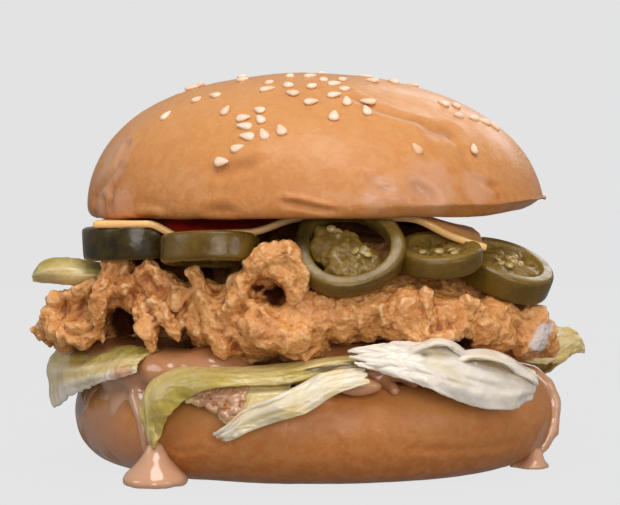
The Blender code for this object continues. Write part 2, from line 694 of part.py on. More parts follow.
bun_crust = new_material("bun_crust", (0.60, 0.26, 0.08), 0.42)
sesame = new_material("sesame", (0.86, 0.68, 0.47), 0.5)
cheese = new_material("cheese", (0.86, 0.45, 0.10), 0.4)
pepper = new_material("pepper", (0.16, 0.12, 0.025), 0.25)
chicken_crust = new_material("chicken_crust", (0.56, 0.25, 0.07), 0.6)
lettuce = new_material("lettuce", (0.68, 0.62, 0.32), 0.4)
sauce = new_material("sauce", (0.66, 0.29, 0.15), 0.25)

bottom_bun = build_bottom_bun()
top_bun = build_top_bun()
cheese_slice = build_cheese()
peppers = [build_pepper_slice(name, *sizes) for name, sizes in PEPPER_SLICES.items()]
leaves = [build_leaf(name, ribs) for name, ribs in LEAVES.items()]
leaves += [build_leaf(name, rear_ribs(*sweep)) for name, sweep in REAR_LEAVES.items()]
chicken = [
    build_lump(name, lobes, REAR_FACES if "back" in name else FRONT_FACES, crag)
    for name, lobes in CHICKEN_PIECES.items()
]
sauce_body = build_sauce()

cut_by(cheese_slice, [top_bun])
for index, pepper_slice in enumerate(peppers):
    cut_by(pepper_slice, [top_bun, cheese_slice, *leaves, *peppers[:index]])
for index, leaf in enumerate(leaves):
    cut_by(leaf, [bottom_bun, *leaves[:index]])
for index, piece in enumerate(chicken):
    cut_by(piece, [bottom_bun, cheese_slice, *peppers, *leaves, *chicken[:index]])
cut_by(sauce_body, [bottom_bun, *leaves, *chicken], solver="MANIFOLD")
add_seeds(top_bun)
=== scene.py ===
import math
import random

import bmesh
import bpy
from mathutils import Matrix, Vector, noise
from mathutils.geometry import intersect_point_line


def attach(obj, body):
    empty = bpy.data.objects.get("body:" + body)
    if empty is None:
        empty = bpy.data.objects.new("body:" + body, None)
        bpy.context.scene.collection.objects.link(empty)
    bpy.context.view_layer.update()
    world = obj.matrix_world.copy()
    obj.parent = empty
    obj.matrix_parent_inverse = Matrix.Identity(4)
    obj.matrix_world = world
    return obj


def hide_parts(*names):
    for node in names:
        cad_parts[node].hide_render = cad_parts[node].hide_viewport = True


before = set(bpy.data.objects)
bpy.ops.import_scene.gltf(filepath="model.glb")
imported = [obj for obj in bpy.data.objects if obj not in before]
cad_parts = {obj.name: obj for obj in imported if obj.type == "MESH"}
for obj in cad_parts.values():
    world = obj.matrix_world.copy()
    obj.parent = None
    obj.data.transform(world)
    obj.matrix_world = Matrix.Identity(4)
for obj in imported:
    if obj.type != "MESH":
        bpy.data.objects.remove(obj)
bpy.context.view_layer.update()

# Shapes are drawn in millimetres, and finishPiece turns them into metres
mm = 0.001
scene = bpy.context.scene
scene.view_settings.view_transform = "Standard"
# Without a fixed seed, noise_vector would shape the crust anew at each run
noise.seed_set(7)


# 0 below low, 1 above high, and a soft step between
def smooth(value, low, high):
    share = min(1.0, max(0.0, (value - low) / (high - low)))
    return share * share * (3 - 2 * share)


# The point at share, 0 to 1, on a soft line through the points
def onLine(points, share):
    place = share * (len(points) - 1)
    index = min(int(place), len(points) - 2)
    t = place - index
    last = len(points) - 1
    a, b, c, d = (Vector(points[min(max(index + step, 0), last)]) for step in (-1, 0, 1, 2))
    return 0.5 * (
        2 * b + (c - a) * t
        + (2 * a - 5 * b + 4 * c - d) * t * t
        + (3 * b - a - 3 * c + d) * t * t * t
    )


# How far a place is from a line of straight stretches
def distanceTo(line, place):
    nearest = 1e9
    for start, end in zip(line, line[1:]):
        point, share = intersect_point_line(place, start, end)
        if share < 0:
            point = start
        elif share > 1:
            point = end
        nearest = min(nearest, (place - Vector(point)).length)
    return nearest


# Moves every vertex along its normal by amount(place)
def pushOut(mesh, amount):
    mesh.normal_update()
    moves = [(vertex, vertex.normal * amount(vertex.co)) for vertex in mesh.verts]
    for vertex, move in moves:
        vertex.co += move


# A full turn of an outline of (radius, height) about +Z; a closed outline makes a ring
def turnOutline(outline, steps, closed=False):
    mesh = bmesh.new()
    corners = [mesh.verts.new((radius, 0, height)) for radius, height in outline]
    pairs = list(zip(corners, corners[1:]))
    if closed:
        pairs.append((corners[-1], corners[0]))
    edges = [mesh.edges.new(pair) for pair in pairs]
    bmesh.ops.spin(
        mesh, geom=corners + edges, cent=(0, 0, 0), axis=(0, 0, 1), dvec=(0, 0, 0),
        angle=2 * math.pi, steps=steps, use_merge=True,
    )
    bmesh.ops.remove_doubles(mesh, verts=mesh.verts, dist=1e-4)
    bmesh.ops.recalc_face_normals(mesh, faces=mesh.faces)
    return mesh


# One closed skin round everything in the mesh
def joined(mesh, voxel):
    data = bpy.data.meshes.new("work")
    mesh.to_mesh(data)
    mesh.free()
    work = bpy.data.objects.new("work", data)
    scene.collection.objects.link(work)
    remesh = work.modifiers.new("join", "REMESH")
    remesh.mode = "VOXEL"
    remesh.voxel_size = voxel
    bpy.context.view_layer.update()
    seen = work.evaluated_get(bpy.context.evaluated_depsgraph_get())
    skin = bmesh.new()
    skin.from_mesh(seen.to_mesh())
    bpy.data.objects.remove(work, do_unlink=True)
    bpy.data.meshes.remove(data)
    return skin


# Smooths the mesh all over
def smoothOut(mesh, passes):
    for _ in range(passes):
        bmesh.ops.smooth_vert(mesh, verts=mesh.verts, factor=0.5,
                              use_axis_x=True, use_axis_y=True, use_axis_z=True)


# Adds one number a vertex for each name, for the materials to read
def addLayers(mesh, *names):
    return [mesh.verts.layers.float.new(name) for name in names]


# 1 well inside the nearest spot, 0 outside them all; a spot is (middle, width)
def nearSpot(spots, place, inner, outer):
    return max((1 - smooth((place - Vector(middle)).length, inner * width, outer * width)
                for middle, width in spots), default=0.0)


def addBall(mesh, middle, sizes, detail=3):
    matrix = Matrix.Translation(middle) @ Matrix.Diagonal((*sizes, 1))
    bmesh.ops.create_icosphere(mesh, subdivisions=detail, radius=1, matrix=matrix)


# Adds all of shape to the mesh and frees it
def addShape(mesh, shape):
    data = bpy.data.meshes.new("shape")
    shape.to_mesh(data)
    shape.free()
    mesh.from_mesh(data)
    bpy.data.meshes.remove(data)


# Balls along a line of (x, y, z, radius), which joined() makes one limb of
def addLimb(mesh, points, steps):
    for index in range(steps + 1):
        x, y, z, radius = onLine(points, index / steps)
        addBall(mesh, (x, y, z), (radius, radius, radius), detail=2)


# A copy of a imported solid, merged, in millimetres
def solidOf(node):
    mesh = bmesh.new()
    mesh.from_mesh(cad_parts[node].data)
    bmesh.ops.scale(mesh, vec=(1 / mm, 1 / mm, 1 / mm), verts=mesh.verts)
    bmesh.ops.remove_doubles(mesh, verts=mesh.verts, dist=0.001)
    return mesh


def finishPiece(name, mesh, materials, nodes=()):
    bmesh.ops.scale(mesh, vec=(mm, mm, mm), verts=mesh.verts)
    data = bpy.data.meshes.new(name)
    mesh.to_mesh(data)
    mesh.free()
    data.shade_smooth()
    for material in materials:
        data.materials.append(material)
    piece = bpy.data.objects.new(name, data)
    scene.collection.objects.link(piece)
    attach(piece, "root")
    if nodes:
        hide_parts(*nodes)
    return piece


# Gives a socket a plain value, or links another node's output to it
def feed(tree, socket, value):
    if isinstance(value, bpy.types.NodeSocket):
        tree.links.new(value, socket)
    else:
        socket.default_value = value


def addNode(tree, kind, inputs=None, **settings):
    node = tree.nodes.new(kind)
    for name, value in settings.items():
        setattr(node, name, value)
    for name, value in (inputs or {}).items():
        feed(tree, node.inputs[name], value)
    return node


def mixColour(tree, share, first, second):
    node = addNode(tree, "ShaderNodeMix", data_type="RGBA")
    for index, value in ((0, share), (6, first), (7, second)):
        feed(tree, node.inputs[index], (*value, 1) if isinstance(value, tuple) else value)
    return node.outputs[2]


# Lays tones over a colour, each by its own mask
def layered(tree, colour, *layers):
    for mask, tone in layers:
        colour = mixColour(tree, mask, colour, tone)
    return colour


def mixValue(tree, share, first, second):
    return addNode(tree, "ShaderNodeMix", {0: share, 2: first, 3: second}).outputs[0]


def mapRange(tree, value, low, high, toLow=0.0, toHigh=1.0):
    node = addNode(tree, "ShaderNodeMapRange", {
        "Value": value, "From Min": low, "From Max": high, "To Min": toLow, "To Max": toHigh,
    }, interpolation_type="SMOOTHSTEP")
    return node.outputs["Result"]


# Eases a mask of 0 to 1 into one of 0 to most
def eased(tree, mask, most):
    return mapRange(tree, mask, 0, 1, 0, most)


def attribute(tree, name):
    return addNode(tree, "ShaderNodeAttribute", attribute_name=name).outputs["Fac"]


def places(tree):
    return addNode(tree, "ShaderNodeTexCoord").outputs["Object"]


def heightOf(tree, at):
    return addNode(tree, "ShaderNodeSeparateXYZ", {"Vector": at}).outputs["Z"]


def noiseAt(tree, vector, size, detail):
    node = addNode(tree, "ShaderNodeTexNoise", {
        "Vector": vector, "Scale": 1 / (size * mm), "Detail": detail,
    })
    return node.outputs["Fac"]


# A node group with the input Vector, an input for each value, and one output
def newGroup(name, values, output):
    group = bpy.data.node_groups.new(name, "ShaderNodeTree")
    group.interface.new_socket("Vector", in_out="INPUT", socket_type="NodeSocketVector")
    for label, value in values.items():
        socket = group.interface.new_socket(label, in_out="INPUT", socket_type="NodeSocketFloat")
        socket.default_value = value
    group.interface.new_socket(output, in_out="OUTPUT", socket_type="NodeSocketFloat")
    given = group.nodes.new("NodeGroupInput")
    result = group.nodes.new("NodeGroupOutput")
    return group, given.outputs, result.inputs[output]


# Soft uneven patches: how many there are to the metre, and how soft their edges are
def makeBlotches():
    group, given, mask = newGroup("blotches", {"Density": 100.0, "Softness": 0.2}, "Mask")
    uneven = addNode(group, "ShaderNodeTexNoise", {
        "Vector": given["Vector"], "Scale": given["Density"], "Detail": 5.0, "Roughness": 0.6,
        "Distortion": 0.4,
    })
    low = addNode(group, "ShaderNodeMath", {0: 0.5, 1: given["Softness"]}, operation="SUBTRACT")
    high = addNode(group, "ShaderNodeMath", {0: 0.5, 1: given["Softness"]}, operation="ADD")
    feed(group, mask, mapRange(group, uneven.outputs["Fac"], low.outputs[0], high.outputs[0]))
    return group


# Fine grain for bumps: noise with small cells taken from it
def makeGrain():
    group, given, height = newGroup("grain", {"Density": 1000.0}, "Height")
    fine = addNode(group, "ShaderNodeTexNoise", {
        "Vector": given["Vector"], "Scale": given["Density"], "Detail": 6.0, "Roughness": 0.6,
    })
    cells = addNode(group, "ShaderNodeTexVoronoi", {
        "Vector": given["Vector"], "Scale": given["Density"],
    }, feature="SMOOTH_F1")
    total = addNode(group, "ShaderNodeMath", {
        0: fine.outputs["Fac"], 1: cells.outputs["Distance"],
    }, operation="SUBTRACT")
    feed(group, height, total.outputs[0])
    return group


# Roughness of a wet surface: mostly Wet, with patches that go towards Dry
def makeWetness():
    group, given, roughness = newGroup(
        "wetness", {"Density": 150.0, "Wet": 0.12, "Dry": 0.45}, "Roughness",
    )
    patches = addNode(group, "ShaderNodeTexNoise", {
        "Vector": given["Vector"], "Scale": given["Density"], "Detail": 4.0, "Roughness": 0.55,
    })
    amount = mapRange(group, patches.outputs["Fac"], 0.38, 0.68, given["Wet"], given["Dry"])
    feed(group, roughness, amount)
    return group


blotches = makeBlotches()
grain = makeGrain()
wetness = makeWetness()


# Places a group at Vector, with its values in the order of its inputs
def useGroup(tree, group, at, *values):
    inputs = dict(enumerate((at, *values)))
    return addNode(tree, "ShaderNodeGroup", inputs, node_tree=group).outputs[0]


def newMaterial(name, fixed):
    material = bpy.data.materials.new(name)
    material.use_nodes = True
    tree = material.node_tree
    shader = tree.nodes["Principled BSDF"]
    shader.inputs["Subsurface Scale"].default_value = 1.0
    for label, value in fixed.items():
        shader.inputs[label].default_value = value
    return material, tree, shader


# Depth in mm; under is the normal of a bump that this one lies on
def addBump(tree, shader, height, depth, strength, under=None):
    inputs = {"Height": height, "Distance": depth * mm, "Strength": strength}
    if under is not None:
        inputs["Normal"] = under
    normal = addNode(tree, "ShaderNodeBump", inputs).outputs["Normal"]
    feed(tree, shader.inputs["Normal"], normal)
    return normal


# Camera, lights and floor

view = {
    "place": (-0.0014, -0.45, 0.062),
    "pitch": 1.88,  # degrees down
    "lens": 112.35,
    "backdrop": (0.768, 0.768, 0.768),
    "ambient": 0.42,
    "floorGlow": (0.99, 0.30),  # to the camera, and as a light
    "floorRadius": 6.0,
}
lamps = {
    # place, aimed at, width, watts, colour
    "topSoftbox": ((0.04, -0.34, 0.75), (0, 0, 0.05), 0.50, 3.7, (1.0, 0.98, 0.95)),
    "frontFill": ((0.10, -0.95, 0.20), (0, 0, 0.04), 0.60, 4.5, (1.0, 0.97, 0.93)),
    "rightFill": ((0.55, -0.50, 0.16), (0.02, 0, 0.03), 0.35, 0.7, (1.0, 0.98, 0.96)),
    "leftStrip": ((-0.60, -0.25, 0.30), (-0.03, 0, 0.05), 0.30, 0.7, (1.0, 1.0, 1.0)),
    "backRim": ((0.30, 0.55, 0.45), (0, 0, 0.05), 0.45, 1.2, (1.0, 1.0, 1.0)),
}


def makeCamera():
    data = bpy.data.cameras.new("photoView")
    data.lens = view["lens"]
    data.sensor_width = 36.0
    camera = bpy.data.objects.new("photoView", data)
    camera.location = view["place"]
    camera.rotation_euler = (math.radians(90 - view["pitch"]), 0, 0)
    scene.collection.objects.link(camera)
    scene.camera = camera


def makeLamps():
    for name, (place, aim, width, watts, colour) in lamps.items():
        data = bpy.data.lights.new(name, "AREA")
        data.shape = "DISK"
        data.size = width
        data.energy = watts
        data.color = colour
        lamp = bpy.data.objects.new(name, data)
        lamp.location = place
        lamp.rotation_euler = (Vector(aim) - Vector(place)).to_track_quat("-Z", "Y").to_euler()
        scene.collection.objects.link(lamp)


# One value for what the camera sees directly, and another for what lights the burger
def seenOr(tree, seen, lighting):
    ray = addNode(tree, "ShaderNodeLightPath").outputs["Is Camera Ray"]
    node = addNode(tree, "ShaderNodeMapRange", {"Value": ray, "To Min": lighting, "To Max": seen})
    return node.outputs["Result"]


def makeSurroundings():
    world = bpy.data.worlds.new("studio")
    world.use_nodes = True
    tree = world.node_tree
    plain = tree.nodes["Background"]
    plain.inputs["Color"].default_value = (*view["backdrop"], 1)
    feed(tree, plain.inputs["Strength"], seenOr(tree, 1.0, view["ambient"]))
    scene.world = world

    material, tree, shader = newMaterial("paleFloor", {
        "Roughness": 0.95, "Specular IOR Level": 0.0, "Emission Color": (*view["backdrop"], 1),
    })
    shade = useGroup(tree, blotches, places(tree), 3.0, 0.3)
    colour = mixColour(tree, shade, (0.020, 0.020, 0.020), (0.022, 0.021, 0.021))
    feed(tree, shader.inputs["Base Color"], colour)
    feed(tree, shader.inputs["Emission Strength"], seenOr(tree, *view["floorGlow"]))
    mesh = bmesh.new()
    bmesh.ops.create_circle(mesh, cap_ends=True, segments=96, radius=view["floorRadius"])
    data = bpy.data.meshes.new("floor")
    mesh.to_mesh(data)
    mesh.free()
    data.materials.append(material)
    floor = bpy.data.objects.new("floor", data)
    scene.collection.objects.link(floor)


makeCamera()
makeLamps()
makeSurroundings()
print("camera, lamps and floor are up")


# Bun

bunCrust = {
    "swellSize": 14,
    "ripple": (2.4, 0.06),  # size and height
    "banks": 0.35,  # how high a fold's banks stand, as a share of its depth
    "foldShadeFrom": 0.3, "foldShadeReach": 26,  # folds this deep get painted shade, up to this far from their start
    "glazeAndSheenEdge": 3.0,  # size of the ups and downs at the edge of each sauce-glaze and painted-sheen patch
}
topBun = {
    "radius": 53.0, "height": 32.7, "fullness": 2.22, "floor": 55.8,
    "lean": -0.022, "leanFade": 8,
    "rollIn": 2.2, "rollLift": 0.7,  # the rim on the right rolls in and up
    "cutSlope": 0.008, "cutLift": 1.6,  # the cut rises towards the right
    "turns": 230, "rings": 80, "crownEnd": 82.5,  # the crown's last ring, in degrees
    "lip": [(52.72, 4.4), (52.85, 3.2), (52.7, 1.6), (52.0, 0.5), (50.8, 0.0)],
    "under": [(49.4, 0.15), (47.6, 0.8), (45.5, 1.3), (36, 1.3), (20, 1.3), (0, 1.3)],
    # folds and dents of the crust: line, width, depth (a ridge is negative)
    "creases": [
        ([(-41.8, -25.8, 71.8), (-43.3, -26.6, 68.6), (-45.1, -25.8, 65.5),
          (-47.6, -22.4, 62.3), (-49.2, -19.5, 59.8)], 1.1, 1.1),
        ([(-46.6, -25.2, 59.6), (-46.6, -25.3, 56.7)], 0.9, 0.9),
        ([(-48.8, -20.4, 59.2), (-49.0, -20.3, 56.6)], 0.8, 0.7),
        ([(-44.4, -28.6, 60.2), (-44.2, -28.9, 56.6)], 0.8, 0.5),
        ([(-42.3, -29.6, 66.5), (-43.5, -29.1, 63.7), (-44.5, -28.3, 61.3)], 1.1, 0.5),
        ([(-20.9, -47.2, 66.0), (-17.5, -48.3, 66.6), (-14.2, -49.0, 67.4)], 1.5, 0.6),
        ([(-38.2, -36.7, 56.9), (-35.7, -39.2, 57.4), (-32.9, -41.5, 56.4)], 0.9, -0.6),
        ([(-21.6, -48.5, 57.2), (-18.4, -49.6, 57.4)], 1.2, 0.7),
        ([(-6.2, -52.4, 60.4), (-1.6, -52.9, 59.6), (2.9, -52.9, 58.4)], 0.6, -0.55),
        ([(-5.8, -52.4, 59.2), (-0.6, -52.9, 58.2), (3.4, -52.9, 57.2)], 0.7, 0.6),
        ([(7.0, -33.5, 82.9), (13.0, -37.7, 79.6), (19.1, -38.0, 77.6), (24.6, -36.9, 75.9)],
         1.2, 0.45),
        ([(25.0, -38.0, 74.9), (28.4, -35.4, 74.4)], 2.2, 0.7),
        ([(29.4, -36.5, 73.2), (31.0, -37.8, 70.5), (32.6, -38.9, 67.1), (34.7, -38.4, 64.3),
          (38.0, -35.8, 62.6)], 0.9, 0.7),
        ([(22.9, -43.4, 70.3), (23.8, -44.6, 67.7)], 0.9, 0.3),
        ([(11.3, -50.7, 64.3), (12.9, -50.8, 62.3), (15.2, -50.3, 61.6)], 0.8, 0.6),
        ([(21.2, -47.9, 62.2), (23.7, -47.2, 59.7)], 1.7, 0.8),
        ([(38.4, -35.4, 62.6), (39.0, -35.5, 60.3)], 0.8, 0.45),
        ([(21.0, -44.1, 70.8), (21.1, -44.2, 70.5)], 0.6, 0.7),
        ([(52.6, -3.0, 59.0), (54.0, -3.2, 59.4)], 1.0, -1.5),
        # and round the back
        ([(30, 38, 74), (36, 34, 68), (42, 30, 61)], 1.2, 0.8),
        ([(-20, 44, 72), (-26, 45, 65), (-27, 45, 59)], 1.1, 0.8),
        ([(4, 52, 62), (10, 52, 60), (16, 50, 60)], 1.0, 0.6),
        ([(52, 8, 64), (52, 12, 60)], 1.2, 0.6),
    ],
    "swell": 0.35,
    # pinkish patches of painted sheen, with a glossier coat: middle and width
    "sheen": [((-47, -24, 60), 5.5), ((-42, -31, 58), 6.0), ((-45, -24, 69), 9.0),
              ((24, -46, 62.5), 7.5), ((13, -50, 61.5), 5.5), ((34, -39, 62.5), 5.0)],
    "tones": {
        # low to high: painted light from above, darker low down and lighter up top
        "low": (0.50, 0.185, 0.046), "high": (0.64, 0.290, 0.096), "deep": (0.53, 0.205, 0.052),
        # fold: painted shade in the deeper folds
        "pale": (0.70, 0.36, 0.145), "speck": (0.72, 0.42, 0.22), "fold": (0.33, 0.105, 0.026),
        # glaze: painted pinkish sheen on this bun
        "glaze": (0.66, 0.37, 0.24), "patching": 0.35,
    },
}
bottomBun = {
    "outline": [(0, 20.8), (46, 20.6), (50.5, 19.8), (53.4, 17.4), (54.8, 13.5),
                (54.9, 9.5), (53.7, 5.2), (50.6, 1.8), (46, 0), (0, 0)],
    "turns": 230, "rings": 90,
    "outOfRound": [(2, -0.7, 0.012), (3, 1.2, 0.008)],  # waves a turn, start and size
    "creases": [
        ([(3.5, -54.6, 14.0), (6.0, -54.2, 10.8), (7.0, -54.0, 8.4), (10.1, -53.0, 5.6)], 0.7, -0.5),
        ([(2.2, -54.6, 13.0), (4.6, -54.2, 10.0), (5.6, -54.0, 7.6), (8.6, -53.0, 4.9)], 0.7, 0.4),
        ([(-32.3, -43.4, 8.0), (-27.7, -46.6, 7.3), (-23.9, -48.6, 8.3)], 0.7, 0.55),
        ([(20, -50, 8), (32, -43.5, 7), (42, -34, 7.6)], 0.9, 0.25),
        ([(-50, 12, 14), (-51, 18, 8)], 1.0, 0.5),
        ([(10, 54, 15), (14, 53, 9), (20, 51, 7)], 1.0, 0.6),
        ([(48, 24, 14), (47, 28, 8)], 0.9, 0.4),
    ],
    "swell": 0.3,
    # where sauce has run over it: middle and width
    "glazed": [((-46, -29, 16), 11.0), ((-44, -33, 8), 9.0), ((-52, -16, 14), 8.0),
               ((-38, -38, 6), 7.0), ((-48, -25, 8), 8.0), ((48, -22, 8), 5.0)],
    "tones": {
        # low to high: painted light from above, darker low down and lighter up top
        "low": (0.37, 0.115, 0.022), "high": (0.53, 0.215, 0.060), "deep": (0.41, 0.130, 0.026),
        # fold: painted shade in the deeper folds
        "pale": (0.60, 0.28, 0.105), "speck": (0.62, 0.34, 0.17), "fold": (0.28, 0.085, 0.02),
        "glaze": (0.50, 0.215, 0.105), "patching": 0.55,
    },
}


# How far the crown leans down towards +X, less and less near the lip
def crownLean(x, rise):
    return topBun["lean"] * x * min(1.0, rise / topBun["leanFade"])


def crownHeight(x, y):
    share = min(1.0, math.hypot(x, y) / topBun["radius"]) ** topBun["fullness"]
    rise = topBun["height"] * (1 - share) ** (1 / topBun["fullness"])
    return topBun["floor"] + rise + crownLean(x, rise)


# Each crease as a line of vectors, its width and depth, and the ball that it is felt in
def creaseLines(creases):
    lines = []
    for points, width, depth in creases:
        line = [Vector(point) for point in points]
        middle = sum(line, Vector()) / len(line)
        reach = max((point - middle).length for point in line) + 4 * width
        lines.append((line, width, depth, middle, reach))
    return lines


# How far the crust stands out at a place: a soft swell, a fine ripple and the creases
def creased(creases, swell):
    lines = creaseLines(creases)
    rippleSize, ripple = bunCrust["ripple"]

    def amount(place):
        total = swell * noise.noise(place / bunCrust["swellSize"])
        total += ripple * noise.noise(place / rippleSize)
        for line, width, depth, middle, reach in lines:
            if (place - middle).length > reach:
                continue
            away = distanceTo(line, place)
            valley = math.exp(-((away / width) ** 2))
            banks = math.exp(-(((away - 2.0 * width) / width) ** 2))
            total += depth * (bunCrust["banks"] * banks - valley)
        return total

    return amount


def makeBunMaterial(name, tones, lowHeight, highHeight, gloss):
    material, tree, shader = newMaterial(name, {
        "Specular IOR Level": 0.29, "Subsurface Weight": 0.08,
        "Subsurface Radius": (0.004, 0.0018, 0.0008), "Coat Roughness": 0.14,
    })
    at = places(tree)
    # painted light from above: the crust is darker low down and lighter up top
    rise = mapRange(tree, heightOf(tree, at), lowHeight * mm, highHeight * mm)
    patches = useGroup(tree, blotches, at, 55.0, 0.16)
    mottle = useGroup(tree, blotches, at, 420.0, 0.12)
    dots = addNode(tree, "ShaderNodeTexVoronoi", {"Vector": at, "Scale": 420.0})
    glaze = attribute(tree, "glaze")
    colour = layered(
        tree, mixColour(tree, rise, tones["low"], tones["high"]),
        (eased(tree, patches, tones["patching"]), tones["deep"]),
        (eased(tree, mottle, 0.22), tones["pale"]),
        (mapRange(tree, dots.outputs["Distance"], 0.08, 0.20, 0.16, 0.0), tones["speck"]),
        # painted shade in the deeper folds
        (eased(tree, attribute(tree, "fold"), 0.55), tones["fold"]),
        # on the top bun a painted pinkish sheen, on the bottom bun sauce that has run over it
        (eased(tree, glaze, 0.45), tones["glaze"]),
    )
    feed(tree, shader.inputs["Base Color"], colour)
    feed(tree, shader.inputs["Coat Weight"], mapRange(tree, glaze, 0.1, 0.8, 0.06, gloss))
    feed(tree, shader.inputs["Roughness"], useGroup(tree, wetness, at, 120.0, 0.36, 0.52))
    pores = addBump(tree, shader, useGroup(tree, grain, at, 1500.0), 0.10, 0.5)
    wrinkles = addNode(tree, "ShaderNodeTexNoise", {
        "Vector": at, "Scale": 300.0, "Detail": 4.0, "Distortion": 1.2,
    })
    addBump(tree, shader, wrinkles.outputs["Fac"], 0.25, 0.55, pores)
    return material


def markBun(mesh, creases, spots):
    fold, glaze = addLayers(mesh, "fold", "glaze")
    # painted shade along the deeper folds
    lines = [crease for crease in creaseLines(creases) if crease[2] > bunCrust["foldShadeFrom"]]
    for vertex in mesh.verts:
        near = 0.0
        for line, width, *_ in lines:
            if (vertex.co - line[0]).length < bunCrust["foldShadeReach"]:
                near = max(near, math.exp(-((distanceTo(line, vertex.co) / width) ** 2)))
        vertex[fold] = near
        # on the top bun the patches are painted sheen, on the bottom bun sauce
        wet = nearSpot(spots, vertex.co, 0.2, 1.5)
        rough = 0.5 + noise.noise(vertex.co / bunCrust["glazeAndSheenEdge"])
        vertex[glaze] = wet * smooth(rough + wet, 0.6, 1.1)


def makeTopBun():
    radius, height, power = topBun["radius"], topBun["height"], 2 / topBun["fullness"]
    outline = []
    for ring in range(topBun["rings"]):
        turn = math.radians(topBun["crownEnd"] * ring / (topBun["rings"] - 1))
        outline.append((radius * math.sin(turn) ** power, height * math.cos(turn) ** power))
    outline += [tuple(onLine(topBun["lip"], step / 12)) for step in range(13)]
    mesh = turnOutline(outline + topBun["under"], topBun["turns"])
    for vertex in mesh.verts:
        x, y, rise = vertex.co
        rolled = smooth(x, 0, 32)
        low = 1 - smooth(rise, 1.5, 6.0)
        outer = smooth(math.hypot(x, y), 44, 50)
        inset = 1 - topBun["rollIn"] * rolled / radius * (1 - smooth(rise, 0.0, 2.4)) * outer
        cut = topBun["cutSlope"] * x + topBun["cutLift"] * smooth(x, 36, 53)
        lift = topBun["rollLift"] * rolled * outer * math.exp(-((rise - 1.7) ** 2))
        z = topBun["floor"] + rise + crownLean(x, rise) + (cut + lift) * low
        vertex.co = (x * inset, y * inset, z)
    pushOut(mesh, creased(topBun["creases"], topBun["swell"]))
    markBun(mesh, topBun["creases"], topBun["sheen"])
    material = makeBunMaterial("topCrust", topBun["tones"], 54, 84, 0.35)
    finishPiece("topBun", mesh, [material], ["top_bun"])


def makeBottomBun():
    outline, rings = bottomBun["outline"], bottomBun["rings"]
    curve = [tuple(onLine(outline[1:-1], step / rings)) for step in range(rings + 1)]
    crumb = [outline[0], (20, 20.75), (36, 20.7)]
    mesh = turnOutline(crumb + curve + [(30, 0), outline[-1]], bottomBun["turns"])
    for vertex in mesh.verts:
        x, y, z = vertex.co
        turn = math.atan2(y, x)
        swell = sum(size * math.cos(waves * turn + start)
                    for waves, start, size in bottomBun["outOfRound"])
        share = 1 + swell * smooth(math.hypot(x, y), 20, 50)
        vertex.co = (x * share, y * share, z)
    pushOut(mesh, creased(bottomBun["creases"], bottomBun["swell"]))
    for vertex in mesh.verts:
        vertex.co.z = max(vertex.co.z, 0.0)
    markBun(mesh, bottomBun["creases"], bottomBun["glazed"])
    material = makeBunMaterial("bottomCrust", bottomBun["tones"], 1, 16, 1.0)
    finishPiece("bottomBun", mesh, [material], ["bottom_bun"])


makeTopBun()
makeBottomBun()
print("both halves of the bun are shaped")


# Sesame seeds

seeds = {
    "length": 3.3, "width": 2.0, "thickness": 1.2, "sunk": 0.25, "rocking": 0.14,
    # scattered ones behind: how many, how far out, how far round to the front, how close
    "behind": 22, "reach": 43, "margin": 0.35, "spacing": 3.6,
    "toasted": (21.0, -43.9),  # the one seed that has baked as brown as the crust
    # first seed (x, y), step to the next, and count
    "rows": [
        ((-32.8, -27.3), (0, 0), 1), ((-26.1, -26.4), (4.1, -1.2), 2), ((-19.4, -36.5), (0, 0), 1),
        ((-16.3, -18.2), (0, 0), 1), ((-10.3, -25.5), (-0.5, -4.8), 2),
        ((-5.8, -19.5), (-0.4, -9.1), 2), ((-5.2, -33.7), (3.9, -4.1), 2),
        ((-0.9, -29.8), (-0.6, 9.4), 2), ((-12.1, -39.2), (0.3, -2.8), 2),
        ((-15.6, -40.4), (0.6, -2.3), 3), ((-11.0, -45.6), (3.6, 0.2), 2),
        ((-16.6, -46.2), (-3.3, -0.4), 2), ((1.5, -24.2), (2.3, -3.2), 3),
        ((5.9, -23.0), (0, 0), 1), ((3.6, -34.4), (2.8, -2.3), 2), ((3.6, -42.2), (0, 0), 1),
        ((11.1, -35.4), (-0.5, -3.7), 2), ((12.5, -19.4), (4.9, 5.7), 2),
        ((21.0, -43.9), (0, 0), 1), ((28.0, -22.9), (2.9, 3.2), 2), ((31.0, -26.3), (3.6, 4.0), 2),
        ((37.4, -19.0), (2.3, 2.4), 2), ((33.6, -34.7), (0, 0), 1),
    ],
}


def seedPlaces():
    draw = random.Random(11)
    found = []
    for (x, y), (stepX, stepY), count in seeds["rows"]:
        for index in range(count):
            found.append((x + stepX * index, y + stepY * index, draw.uniform(0, math.pi)))
    wanted = len(found) + seeds["behind"]
    margin = seeds["margin"]
    while len(found) < wanted:
        radius = seeds["reach"] * math.sqrt(draw.random())
        azimuth = draw.uniform(-margin, math.pi + margin)
        x, y = radius * math.cos(azimuth), radius * math.sin(azimuth)
        turn = draw.uniform(0, math.pi)
        if all(math.hypot(x - place[0], y - place[1]) > seeds["spacing"] for place in found):
            found.append((x, y, turn))
    return found


def crownNormal(x, y):
    step = 0.2
    slopeX = (crownHeight(x + step, y) - crownHeight(x - step, y)) / (2 * step)
    slopeY = (crownHeight(x, y + step) - crownHeight(x, y - step)) / (2 * step)
    return Vector((-slopeX, -slopeY, 1)).normalized()


# One seed: a drop with a blunt end, pointed at +X
def addSeed(mesh, matrix, tone, layer):
    made = bmesh.ops.create_uvsphere(mesh, u_segments=12, v_segments=9, radius=1)["verts"]
    for vertex in made:
        x, y, z = vertex.co.z, vertex.co.y, vertex.co.x
        narrow, flat = 1 - 0.42 * x, 1 - 0.25 * x
        vertex.co = (x * (1.0 + 0.10 * x), y * narrow, z * flat)
        vertex[layer] = tone
    bmesh.ops.transform(mesh, matrix=matrix, verts=made)


